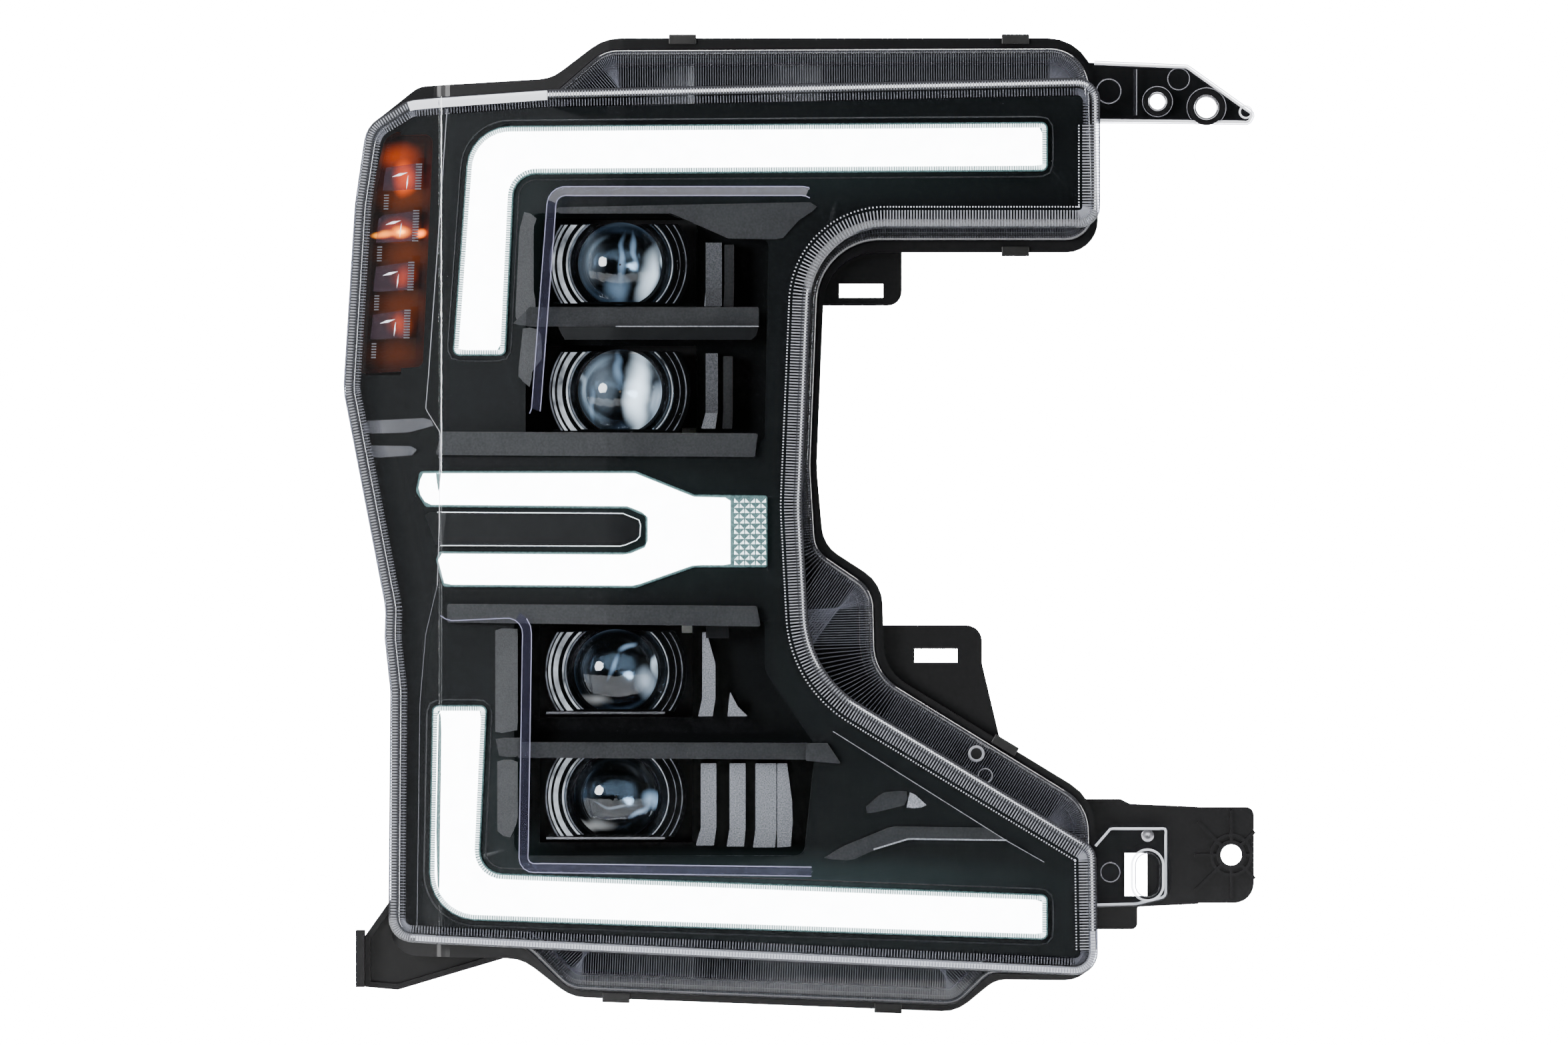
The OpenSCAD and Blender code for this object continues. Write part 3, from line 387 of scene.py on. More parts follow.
PLASTICS = {
    "housing": ((0.0035, 0.0035, 0.004), 0.28, dict(bump=0, specular=0.32, tone=0.08, vary=0)),
    "gloss_black": ((0.004, 0.0045, 0.005), 0.3, dict(bump=0, specular=0.2, tone=0.05, vary=0)),
    "leather": ((0.013, 0.0135, 0.015), 0.45, dict(grain=1500, bump=0.6, tone=0.6, mottle=1300)),
    # A darker copy of the slats, as painted shade.
    "slats_painted_shade": ((0.07, 0.072, 0.08), 0.42,
                   dict(grain=2600, bump=0.6, metallic=0.2, tone=0.6, mottle=1500)),
    "trim": ((0.014, 0.0145, 0.016), 0.42,
             dict(grain=2200, bump=0.3, specular=0.3, tone=0.35, mottle=900)),
    "slats": ((0.23, 0.235, 0.255), 0.42,
              dict(grain=2600, bump=0.6, metallic=0.2, tone=0.6, mottle=1500)),
    "tray": ((0.6, 0.6, 0.62), 0.4, {}),
    "board": ((0.015, 0.09, 0.035), 0.35, dict(grain=500)),
    "copper": ((0.45, 0.25, 0.12), 0.35, dict(grain=700, metallic=0.8)),
    "chrome": ((0.15, 0.16, 0.17), 0.10, dict(bump=0, tone=0.1, metallic=1.0)),
    "ecoat": ((0.006, 0.006, 0.0065), 0.4, {}),
    "silver": ((0.42, 0.42, 0.45), 0.22, dict(metallic=0.9)),
    "projector": ((0.006, 0.006, 0.0065), 0.35, dict(grain=1200)),
    "alu": ((0.5, 0.51, 0.53), 0.38, dict(bump=0.2, metallic=1.0)),
    "steel": ((0.5, 0.5, 0.52), 0.3, dict(grain=1200, metallic=1.0)),
    "nylon": ((0.7, 0.7, 0.66), 0.5, dict(grain=700)),
    "rubber": ((0.015, 0.015, 0.015), 0.75, dict(bump=0.3)),
    "clip": ((0.02, 0.02, 0.02), 0.35, dict(metallic=0.5)),
    "socket": ((0.02, 0.02, 0.022), 0.5, dict(grain=1400, bump=0.2)),
}
CLEARS = {
    "lens": ((0.97, 0.98, 0.99), dict(strength=0.5)),
    # Frosted ribs in a paler haze: their frost is real, and the extra paleness is painted highlight.
    "rib_frost_painted_highlight": ((0.6, 0.6, 0.65), dict(haze=0.38, haze_colour=(0.5, 0.51, 0.56), rough=0.15)),
    "rib": ((0.7, 0.7, 0.74), dict(haze=0.24, haze_colour=(0.5, 0.5, 0.57), rough=0.15)),
    # Painted highlights: pale purple lines along the window step's edges.
    "line": ((0.7, 0.7, 0.8), dict(haze=0.4, haze_colour=(0.42, 0.42, 0.62), rough=0.15)),
    "edge": ((0.1, 0.1, 0.12), dict(haze=0.1, haze_colour=(0.1, 0.1, 0.12), rough=0.1)),
    # Painted highlights: pale hazy plastics for bands, beads and rings where the lights' reflections
    # show.
    "soft_painted_sheen": ((0.6, 0.61, 0.66), dict(haze=0.6, haze_colour=(0.8, 0.82, 0.88), rough=0.15)),
    "painted_sheen": ((0.8, 0.81, 0.85), dict(haze=0.72, haze_colour=(0.85, 0.86, 0.9), rough=0.2)),
    "bevel": ((0.34, 0.35, 0.39),
              dict(haze=0.02, haze_colour=(0.7, 0.7, 0.76), rough=0.08, straight_on=0.10)),
    "step": ((0.6, 0.6, 0.7),
             dict(haze=0.025, haze_colour=(0.3, 0.3, 0.6), rough=0.06, straight_on=0.07)),
    "glass": ((0.86, 0.92, 0.97), dict(rough=0.015, straight_on=0.09, strength=0.6)),
    "cell": ((0.62, 0.48, 0.5), dict(haze=0.04, haze_colour=(0.45, 0.3, 0.42), rough=0.1)),
}
GLOWS = {
    "light": ((1.0, 1.0, 1.0), 14.0, dict(tone=0.1)),
    "light_edge": ((0.35, 0.62, 0.62), 0.35, dict(base=(0.05, 0.09, 0.09), tone=0.8, scale=700)),
    "light_rib": ((0.80, 1.0, 0.97), 2.6, dict(scale=400)),
    "outline": ((0.75, 0.95, 0.95), 1.1, dict(tone=0.4, scale=200)),
    # Painted highlights: pale glowing glints on the side marker's cells.
    "painted_glint": ((0.85, 0.75, 0.95), 0.32, dict(scale=500)),
    # Painted highlights: glowing arcs on the projectors' chrome rings, in place of their reflections.
    "arc": ((0.85, 0.92, 1.0), 1.1, dict(base=(0.03, 0.03, 0.035), tone=0.98, scale=90)),
    "arc_dim": ((0.75, 0.82, 0.95), 0.28, dict(base=(0.03, 0.03, 0.035), tone=0.95, scale=130)),
    # Painted light: the glow of the side marker's stepped combs and blocks.
    "painted_glow_comb": ((0.75, 0.72, 0.85), 0.26, dict(base=(0.05, 0.05, 0.05), tone=0.4, scale=300)),
}
M = {name: plastic(name, colour, rough, **more) for name, (colour, rough, more) in PLASTICS.items()}
M.update((name, clear(name, tint, **more)) for name, (tint, more) in CLEARS.items())
M.update((name, glowing(name, colour, power, **more)) for name, (colour, power, more) in GLOWS.items())


def painted_light_strokes(name, base, strokes, waves=0.0):
    """A surface with strokes of painted light, which glow: each is (x, z, half width, half height,
    turn, colour, strength) in the working frame, soft at its edge and bent by slow waves."""
    material, tree = new_material(name)
    out = tree.nodes.new("ShaderNodeOutputMaterial")
    coords = tree.nodes.new("ShaderNodeTexCoord")
    place = coords.outputs["Object"]
    if waves:
        wave = tree.nodes.new("ShaderNodeTexNoise")
        wave.inputs["Scale"].default_value = 55.0
        wave.inputs["Detail"].default_value = 1.0
        link(tree, place, wave.inputs["Vector"])
        bend = tree.nodes.new("ShaderNodeVectorMath")
        bend.operation = "MULTIPLY_ADD"
        bend.inputs[1].default_value = (waves, 0, waves)
        link(tree, wave.outputs["Color"], bend.inputs[0])
        shift = tree.nodes.new("ShaderNodeVectorMath")
        shift.operation = "ADD"
        shift.inputs[1].default_value = (-waves / 2, 0, -waves / 2)
        link(tree, place, shift.inputs[0])
        link(tree, shift.outputs["Vector"], bend.inputs[2])
        place = bend.outputs["Vector"]
    result = base(tree)
    for x, z, wide, high, turn, colour, strength in strokes:
        at = row(x, 0, z)
        local = tree.nodes.new("ShaderNodeMapping")
        local.vector_type = "TEXTURE"
        local.inputs["Location"].default_value = (at.x, 0, at.z)
        local.inputs["Rotation"].default_value = (0, math.radians(turn), 0)
        local.inputs["Scale"].default_value = (wide / 1000, 1e6, high / 1000)
        link(tree, place, local.inputs["Vector"])
        away = tree.nodes.new("ShaderNodeVectorMath")
        away.operation = "LENGTH"
        link(tree, local.outputs["Vector"], away.inputs[0])
        level = tree.nodes.new("ShaderNodeMapRange")
        level.interpolation_type = "SMOOTHSTEP"
        level.inputs["From Min"].default_value = 1.0
        level.inputs["From Max"].default_value = 0.0
        level.inputs["To Max"].default_value = strength
        link(tree, away.outputs["Value"], level.inputs["Value"])
        glow = tree.nodes.new("ShaderNodeEmission")
        glow.inputs["Color"].default_value = (*colour, 1)
        link(tree, level.outputs["Result"], glow.inputs["Strength"])
        add = tree.nodes.new("ShaderNodeAddShader")
        link(tree, result, add.inputs[0])
        link(tree, glow.outputs["Emission"], add.inputs[1])
        result = add.outputs["Shader"]
    link(tree, result, out.inputs["Surface"])
    return material


def dark_base(tree):
    shader = tree.nodes.new("ShaderNodeBsdfPrincipled")
    shader.inputs["Base Color"].default_value = (0.012, 0.008, 0.007, 1)
    shader.inputs["Roughness"].default_value = 0.3
    return shader.outputs["BSDF"]


def bowl_base(tree):
    shader = tree.nodes.new("ShaderNodeBsdfPrincipled")
    shader.inputs["Base Color"].default_value = (0.10, 0.115, 0.13, 1)
    shader.inputs["Metallic"].default_value = 1.0
    shader.inputs["Roughness"].default_value = 0.16
    return shader.outputs["BSDF"]


def bezel_base(tree):
    shader = tree.nodes.new("ShaderNodeBsdfPrincipled")
    shader.inputs["Base Color"].default_value = (0.003, 0.0038, 0.0042, 1)
    shader.inputs["Roughness"].default_value = 0.26
    shader.inputs["Specular IOR Level"].default_value = 0.2
    return shader.outputs["BSDF"]


def amber_base(tree):
    through = tree.nodes.new("ShaderNodeBsdfTransparent")
    through.inputs["Color"].default_value = (0.75, 0.35, 0.22, 1)
    gloss = tree.nodes.new("ShaderNodeBsdfGlossy")
    gloss.inputs["Roughness"].default_value = 0.08
    mix = tree.nodes.new("ShaderNodeMixShader")
    link(tree, mirror_share(tree, 0.06), mix.inputs["Fac"])
    link(tree, through.outputs["BSDF"], mix.inputs[1])
    link(tree, gloss.outputs["BSDF"], mix.inputs[2])
    return mix.outputs["Shader"]


# Colours of painted light: the strokes below glow on the bezel, the side marker and the projector bowls.
TEAL = (0.50, 0.82, 0.85)
ORANGE = (1.0, 0.13, 0.0)
RED = (1.0, 0.22, 0.005)
DEEP_RED = (1.0, 0.15, 0.005)
BROWN = (0.75, 0.16, 0.0)
YELLOW = (1.0, 0.36, 0.004)
PALE_YELLOW = (1.0, 0.7, 0.03)
WHITE = (0.88, 0.95, 1.0)
BLUE = (0.55, 0.75, 1.0)
GREY = (0.7, 0.78, 0.88)
SAND = (0.8, 0.72, 0.66)
# Painted light: a soft teal glow on the bezel round the light bars, where their light falls on it.
M["bezel"] = painted_light_strokes("bezel", bezel_base, [
    (-112, 140, 26, 62, 0, TEAL, 0.012), (30, 180, 170, 22, 0, TEAL, 0.014),
    (-105, 172, 34, 30, 0, TEAL, 0.010), (-50, -1, 120, 46, 0, TEAL, 0.022),
    (-121, -135, 18, 60, 0, TEAL, 0.014), (15, -183, 175, 22, 0, TEAL, 0.050),
    (-108, -172, 26, 26, 0, TEAL, 0.014), (0, -215, 170, 12, 0, TEAL, 0.008),
])
# Painted light: a faint orange glow on the side marker's dark parts.
M["marker"] = painted_light_strokes("marker", dark_base, [
    (-172, 178, 16, 16, 0, ORANGE, 0.08), (-172, 150, 16, 16, 0, ORANGE, 0.08),
])
# Painted light: orange and yellow glow and highlights in the amber marker's cells.
M["amber"] = painted_light_strokes("amber", amber_base, [
    (-171, 189, 14, 9, 0, ORANGE, 0.34), (-168, 168, 20, 12, 0, BROWN, 0.12),
    (-168, 139, 20, 13, 0, BROWN, 0.11), (-170, 113, 20, 13, 0, BROWN, 0.10),
    (-173, 88, 20, 12, 0, BROWN, 0.07), (-168, 178, 8, 11, 0, ORANGE, 1.6),
    (-169, 127, 5, 8, 0, ORANGE, 0.5), (-171, 103, 5, 8, 0, ORANGE, 0.5),
    (-172, 152, 12, 8, 0, ORANGE, 0.7), (-170.5, 150.5, 6.5, 4.2, 0, YELLOW, 6.0),
    (-170.5, 150.5, 3.5, 1.8, 0, PALE_YELLOW, 8.0), (-179, 149.8, 7, 2.6, 0, YELLOW, 5.0),
    (-160, 150, 4, 3.0, 0, RED, 4.0), (-153, 149.5, 3, 2.0, 0, DEEP_RED, 0.8),
    (-169, 128, 9, 7, 0, ORANGE, 0.22), (-171, 103, 9, 8, 0, BROWN, 0.35),
], waves=0.004)
# Painted reflections: the swirls and catch-lights of the projector glasses, glowing on the bowls behind
# them.
M["painted_glass_reflections"] = painted_light_strokes("painted_glass_reflections", bowl_base, [
    (-43, 128, 7, 19, 12, WHITE, 2.4), (-57, 136, 2.2, 15, 4, BLUE, 0.9),
    (-51, 140, 1.8, 12, -8, BLUE, 0.8), (-73, 136, 9, 19, 5, GREY, 0.22),
    (-59, 121, 8, 8, 0, BLUE, 0.5), (-36, 140, 2.0, 12, -12, WHITE, 1.6),
    (-49, 70, 9, 26, 3, WHITE, 4.5), (-39, 63, 5, 16, 12, GREY, 1.1),
    (-67, 73, 10, 20, 6, GREY, 0.40), (-73, 62, 2.0, 13, 4, BLUE, 0.5),
    (-59, 80, 3.0, 12, 0, BLUE, 0.7), (-77, 76, 1.8, 14, -6, WHITE, 0.5),
    (-61, -72, 2.2, 9, 22, BLUE, 0.9), (-54, -62, 6, 2.2, -25, BLUE, 0.8),
    (-44, -79, 8, 10, 25, GREY, 1.2), (-39, -68, 2.2, 11, -10, WHITE, 1.7),
    (-71, -89, 12, 4.5, 4, SAND, 0.6), (-42, -140, 6, 6, 0, BLUE, 1.2),
    (-48, -146.5, 8, 2, -30, BLUE, 1.1), (-71, -152.5, 12, 4, 4, SAND, 0.7),
    (-61, -142.5, 13, 1.2, 3, GREY, 0.5),
], waves=0.010)

OF_SLOT = {
    "lens_clear": "lens", "housing_black": "housing", "bezel_black": "bezel", "trim_dark": "trim",
    "trim_grey": "slats", "diffuser_white": "light_edge", "tray_white": "tray", "board_green": "board",
    "board_copper": "copper", "marker_amber": "amber", "marker_dark": "marker",
    "projector_glass": "glass", "shroud_chrome": "chrome", "projector_black": "projector",
    "driver_alu": "alu", "carrier_steel": "ecoat", "screw_steel": "steel", "nylon_white": "nylon",
    "seal_black": "rubber", "rubber_black": "rubber", "socket_black": "socket", "clip_black": "clip",
    "wire_black": "rubber",
}
for part in frame["record"]["subparts"]:
    node = NODES[part["node"]]
    node.data.materials.clear()
    node.data.materials.append(M[OF_SLOT[part["material_slot"]]])
    if part["material_slot"] != "lens_clear":
        weld = node.modifiers.new("weld", "WELD")
        weld.merge_threshold = 1e-6
        bevel = node.modifiers.new("bevel", "BEVEL")
        bevel.width = 0.0004
        bevel.segments = 2
        bevel.limit_method = "ANGLE"
        bevel.angle_limit = math.radians(40)
        bevel.harden_normals = True


# ---------------------------------------------------------------- lens flutes
def ribs(name, corners, pitch, half, height, rows, material, line=None, until=None,
         keep=None):
    """Fine ribs across an outline's edge: rows are (distance inwards, depth behind the line), and
    a rib ends where it meets the outline given as until."""
    shortest, longest = 3.0, 45.0
    stop = rounded(until, 3.0) if until else None
    depths = line or LENS_LINE
    verts, faces = [], []
    loop = resampled(rounded(corners, 2.0), pitch / 2)
    for x, z, nx, nz in loop[::2]:
        if keep and not keep(x, z):
            continue
        reach = crosses(x, z, nx, nz, stop) if stop else None
        if stop and (reach is None or reach < shortest or reach > longest):
            continue
        last = rows[-1][0] if not stop else min(rows[-1][0], reach)
        base = len(verts)
        spans = rows
        if stop:
            spans = [(d, y) for d, y in rows if d < last - 0.3] + [(last, rows[-1][1])]
        for d, y in spans:
            for side, lift in ((-1, 0.0), (0, height), (1, 0.0)):
                px, pz = x + nx * d + nz * half * side, z + nz * d - nx * half * side
                verts.append((px, depth(depths, px) + y - lift, pz))
        for r in range(len(spans) - 1):
            for c in range(2):
                a = base + 3 * r + c
                faces.append((a, a + 1, a + 4, a + 3))
    return add_piece(name, verts, faces, material)


def band(name, corners, rows, material, line=None, smooth=True, keep=None):
    """A strip along an outline: rows are (distance inwards, depth behind the line)."""
    depths = line or LENS_LINE
    loop = resampled(rounded(corners, 3.0), 3.0)
    verts = []
    for x, z, nx, nz in loop:
        for d, y in rows:
            px, pz = x + nx * d, z + nz * d
            verts.append((px, depth(depths, px) + y, pz))
    faces = grid_faces(len(loop), len(rows), True)
    if keep:
        faces = [f for f in faces if all(keep(verts[i][0], verts[i][2]) for i in f)]
    return add_piece(name, verts, faces, material, smooth=smooth)


def on_the_right(x, z):
    """True on the lens's right-hand edge and along the notch."""
    return x > 24 and -216 < z < 205


RIM_PITCH = 1.5
FLANGE_PITCH = 1.24
# The rim's ribs here, and those on the right side and the lip, use the paler haze: frost with painted
# highlight.
ribs("lens_rim_ribs", PLATEAU, RIM_PITCH, 0.36, 0.4, [(0.6, 5.0), (1.2, 2.4), (2.4, 1.0), (4.2, 0.7)],
     M["rib_frost_painted_highlight"])
ribs("lens_inner_ribs", PLATEAU, RIM_PITCH, 0.28, 0.4, [(5.2, 3.4), (8.8, 3.4)], M["rib"])
ribs("lens_side_ribs", PLATEAU, RIM_PITCH, 0.34, 0.3, [(4.3, 0.5), (9.2, 0.5)], M["rib_frost_painted_highlight"],
     keep=on_the_right)
# Painted highlight: a pale bead along the lens's right-hand edge and the notch.
ribs("lens_bead", PLATEAU, RIM_PITCH, 0.3, 0.2, [(10.6, 0.4), (11.3, 0.4)], M["soft_painted_sheen"],
     keep=on_the_right)
ribs("lens_flange_ribs", SKIRT, FLANGE_PITCH, 0.24, 0.35, [(2.8, 3.4), (45.0, 3.4)], M["rib"],
     line=STEP_LINE, until=PLATEAU)
band("lens_rim_edge", PLATEAU, [(0.1, 5.0), (0.8, 3.4)], M["edge"])
band("lens_lip_edge", SKIRT, [(0.1, 0.9), (0.8, -0.3)], M["edge"], line=STEP_LINE)
band("lens_rim_bevel", PLATEAU, [(0.15, 3.6), (1.2, 2.3), (2.8, 1.05), (4.6, 0.15)], M["bevel"])


def by_a_bay(x, z):
    """True beside, above and below the projector bays, where the step shows."""
    if z > 40:
        return x < -85 and 56 < z < 168 or z > 160 and x < 40
    return z < -44 and x < -98 or z < -158 and x < 40


band("lens_window_step", WINDOW, [(-0.3, 0.05), (4.2, 2.35)], M["step"], keep=by_a_bay)
# Painted highlights along the step's outer and inner edges.
band("lens_window_line", WINDOW, [(-0.6, 0.02), (-0.1, 0.0)], M["line"], keep=by_a_bay)
band("lens_window_inner_line", WINDOW, [(4.0, 2.25), (4.5, 2.35)], M["line"], keep=by_a_bay)
# Painted highlights: pale bands on the rim's upper left and along its bottom.
band("lens_rim_painted_highlight", PLATEAU, [(0.6, 2.0), (2.4, 0.25), (5.4, -0.05)], M["painted_sheen"],
     keep=lambda x, z: z > 195 and -168 < x < -92)
band("lens_rim_lower_painted_highlight", PLATEAU, [(1.2, 2.2), (2.6, 0.95), (4.4, 0.4)], M["soft_painted_sheen"],
     keep=lambda x, z: z < -205 and x > -165)
band("lens_lip", SKIRT, [(0.2, 0.3), (0.7, -0.25), (1.5, -0.45), (2.3, -0.2), (2.7, 0.1)], M["bevel"],
     line=STEP_LINE)
ribs("lens_lip_ribs", SKIRT, FLANGE_PITCH, 0.3, 0.2, [(0.6, 0.6), (2.2, 0.6)], M["rib_frost_painted_highlight"],
     line=STEP_LINE)


# ---------------------------------------------------------------- light bars
def plate(name, corners, y_front, y_back, material):
    """A plate that follows the lens's curve: y_front and y_back are depths behind its face."""
    loop = resampled(rounded(corners, 6.0), 4.0)
    mesh = bmesh.new()
    ring = [mesh.verts.new((x, 0, z)) for x, z, _, _ in loop]
    mesh.faces.new(ring)
    xs = [p[0] for p in loop]
    x = min(xs) + 4
    while x < max(xs):
        everything = mesh.verts[:] + mesh.edges[:] + mesh.faces[:]
        bmesh.ops.bisect_plane(mesh, geom=everything, plane_co=(x, 0, 0), plane_no=(1, 0, 0))
        x += 4
    made = bmesh.ops.extrude_face_region(mesh, geom=mesh.faces[:])
    back = {v for v in made["geom"] if isinstance(v, bmesh.types.BMVert)}
    for v in mesh.verts:
        v.co.y = front(v.co.x) + (y_back if v in back else y_front)
    bmesh.ops.recalc_face_normals(mesh, faces=mesh.faces[:])
    for v in mesh.verts:
        v.co = row(*v.co)
    data = bpy.data.meshes.new(name)
    mesh.to_mesh(data)
    mesh.free()
    data.materials.append(material)
    obj = bpy.data.objects.new(name, data)
    bpy.context.scene.collection.objects.link(obj)
    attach(obj, "lamp")
    return obj


for name, bar in (("upper_bar", UPPER_BAR), ("lower_bar", LOWER_BAR)):
    plate(f"{name}_glow", inset(bar, 2.6), BEZEL_DEPTH - 3.4, BEZEL_DEPTH - 2.0, M["light"])
fork_body = [[x if x < 0 else -1.5, z, r] for x, z, r in inset(FORK, 0.9)]
plate("fork_glow", fork_body, BEZEL_DEPTH - 5.4, BEZEL_DEPTH - 4.0, M["light"])
for name, bar in (("upper_bar", UPPER_BAR), ("lower_bar", LOWER_BAR)):
    ribs(f"{name}_ribs", bar, 1.2, 0.36, 0.25, [(0.5, BEZEL_DEPTH - 3.15), (2.7, BEZEL_DEPTH - 3.15)],
         M["light_rib"])
    groove = [(-3.4, BEZEL_DEPTH - 0.15), (-3.0, BEZEL_DEPTH - 0.7), (-2.6, BEZEL_DEPTH - 0.15)]
    band(f"{name}_groove", bar, groove, M["trim"])
PRISM_COLUMNS, PRISM_ROWS = 6, 13
verts, faces = [], []
for i in range(PRISM_COLUMNS):
    for k in range(PRISM_ROWS):
        x, z = 0.4 + 2.8 * i, -18.6 + 2.65 * k
        flip = 1 if (i + k) % 2 else -1
        base = len(verts)
        y = front(x) + BEZEL_DEPTH - 5.2
        verts += [(x, y, z - 1.0), (x + 2.3, y, z - 1.0), (x + 1.15 + 1.0 * flip, y, z + 1.1),
                  (x + 1.15, y - 0.5, z - 0.2)]
        faces += [(base + a, base + (a + 1) % 3, base + 3) for a in range(3)]
add_piece("fork_prisms", verts, faces, M["light_rib"])

INSERT = [
    [-152, -9.9, 1], [-56.4, -10.2, 2], [-47.6, -6.4, 2], [-47, 3.1, 2], [-56.4, 6.9, 2], [-158, 7.5, 1],
]
plate("fork_insert", INSERT, BEZEL_DEPTH - 5.0, BEZEL_DEPTH - 0.2, M["gloss_black"])
band("fork_insert_outline", INSERT, [(-0.05, BEZEL_DEPTH - 5.15), (0.4, BEZEL_DEPTH - 5.3)],
     M["outline"], smooth=False, keep=lambda x, z: x > -152)


# ---------------------------------------------------------------- projectors
def lathe(name, centre, profile, material, body):
    """A surface turned about a line along Y through centre: profile is [(radius, y)]."""
    turns = 96
    verts = []
    for k in range(turns):
        a = 2 * math.pi * k / turns
        for r, y in profile:
            verts.append((centre[0] + r * math.cos(a), y, centre[1] + r * math.sin(a)))
    faces = grid_faces(turns, len(profile), True)
    return add_piece(name, verts, faces, material, body, smooth=True)


def block(name, box, material, body):
    x0, x1, y0, y1, z0, z1 = box
    verts = [(x, y, z) for x in (x0, x1) for y in (y0, y1) for z in (z0, z1)]
    faces = [(0, 1, 3, 2), (4, 6, 7, 5), (0, 4, 5, 1), (2, 3, 7, 6), (0, 2, 6, 4), (1, 5, 7, 3)]
    return add_piece(name, verts, faces, material, body)


PROJECTORS = [(-58, 134), (-58, 69), (-60, -74), (-60, -138)]
CARRIERS = ["upper_aim", "upper_aim", "lower_aim", "lower_aim"]
BOWL = [(0.5, 74.0), (8, 73), (14, 70), (18.5, 66), (21.5, 60)]
for i, (x, z) in enumerate(PROJECTORS[2:]):
    block(f"projector_lip_{i + 3}", (x - 35.5, x + 25, 37, 39, z - 21.7, z - 20.6), M["silver"],
          "lower_aim")
# Each bowl behind a projector glass carries the painted reflections.
for i, at in enumerate(PROJECTORS):
    lathe(f"projector_bowl_{i + 1}", at, BOWL, M["painted_glass_reflections"], CARRIERS[i])


def arc(name, centre, r0, r1, y, left, material, body):
    """Part of a ring round a glass, between its two flats, which carries a painted highlight."""
    flat, count = 20.0, 24
    verts = []
    for k in range(count + 1):
        z = -flat + 2 * flat * k / count
        for r in (r0, r1):
            x = math.sqrt(max(1.0, r * r - z * z))
            verts.append((centre[0] + (-x if left else x), y, centre[1] + z))
    faces = grid_faces(count + 1, 2, False)
    return add_piece(name, verts, faces, material, body, smooth=True)


# Painted highlights on the chrome rings round each projector glass.
ARCS = [                       # inner and outer radius, depth, on the left, material
    (25.3, 26.0, 42.6, True, "arc_dim"), (26.5, 27.8, 42.6, True, "arc"),
    (29.5, 32.0, 38.7, True, "arc"), (33.2, 34.5, 37.8, True, "arc"),
    (35.2, 36.0, 37.8, True, "arc_dim"), (26.6, 27.1, 42.6, False, "arc"),
    (30.6, 31.0, 38.7, False, "arc_dim"), (33.6, 34.2, 37.8, False, "arc_dim"),
]
for i, at in enumerate(PROJECTORS):
    for k, (r0, r1, y, left, shade) in enumerate(ARCS):
        arc(f"projector_arc_{i + 1}_{k + 1}", at, r0, r1, y, left, M[shade], CARRIERS[i])


# ---------------------------------------------------------------- inner facets and small parts
def facet(name, corners, proud, material, thick=0.8):
    """A small plate whose front is that far in front of the bezel's face."""
    plate(name, corners, BEZEL_DEPTH - proud, BEZEL_DEPTH - proud + thick, material)


facet("inner_band", [
    [45.6, -169.5, 0.3], [60.2, -170.4, 0.3], [71.3, -165.2, 0.5], [89.3, -159.8, 0.5],
    [139.7, -160.5, 0.3], [128.6, -153.6, 0.3], [80.7, -152.9, 0.5], [55, -163.5, 0.5],
], 2.5, M["trim"], thick=2.3)
# Painted highlights: the inner bowl's soft gloss as a facet, and its bright tip in the slats' grey.
facet("inner_bowl_painted_highlight", [[62, -148, 2], [76, -145, 3], [88, -142, 2], [90, -134.5, 2], [76, -135.5, 8]],
      0.9, M["trim"])
facet("inner_tip_painted_highlight", [[88.2, -144, 0.5], [99.5, -143, 0.5], [90.2, -134.4, 0.5]], 1.2, M["slats"])
facet("left_facet_upper", [
    [-189, 47.5, 1], [-166, 48, 1], [-151, 52, 1], [-156, 55.5, 2], [-190, 54, 1],
], 2.5, M["silver"])
facet("left_facet_lower", [[-184, 35, 1], [-163, 36.5, 1], [-160, 41, 2], [-188, 41.5, 1]], 2.5,
      M["silver"])


def painted_highlight_line(name, points, half, y, material, flat=False):
    """A thin ribbon of painted highlight along points, on the lens or, if flat, at a depth."""
    path = resampled(points, 2.0, closed=False)
    verts = []
    for x, z, nx, nz in path:
        for d in (-half, half):
            verts.append((x + nx * d, y if flat else front(x + nx * d) + y, z + nz * d))
    return add_piece(name, verts, grid_faces(len(path), 2, False), material)


# Painted highlights: thin pale lines along the lens's crease, a shelf's edge, an inner crease and the
# inner band's lower edge.
painted_highlight_line("lens_crease_upper", [(-146, 213), (-151, 140), (-155.5, 78)], 0.22, 0.4, M["rib_frost_painted_highlight"])
painted_highlight_line("lens_crease_mid", [(-155.5, 78), (-157, 60), (-149.5, 48), (-150, 0), (-151, -30)],
           0.2, 0.4, M["rib_frost_painted_highlight"])
painted_highlight_line("lens_crease_lower", [(-151, -30), (-157, -55), (-160, -90), (-161.5, -205)], 0.12, 0.4,
           M["rib"])
painted_highlight_line("shelf_edge", [(-60, 102.1), (13, 102.1)], 0.25, BEZEL_DEPTH - 1.2, M["slats"])
painted_highlight_line("inner_crease", [(50.8, -104.5), (139.6, -160.4), (158.5, -171.2)], 0.2, BEZEL_DEPTH - 2.9,
           M["slats"])
painted_highlight_line("inner_band_edge", [(71.5, -164.7), (89.3, -159.3), (139.4, -160.0)], 0.4,
           BEZEL_DEPTH - 2.7, M["slats"])
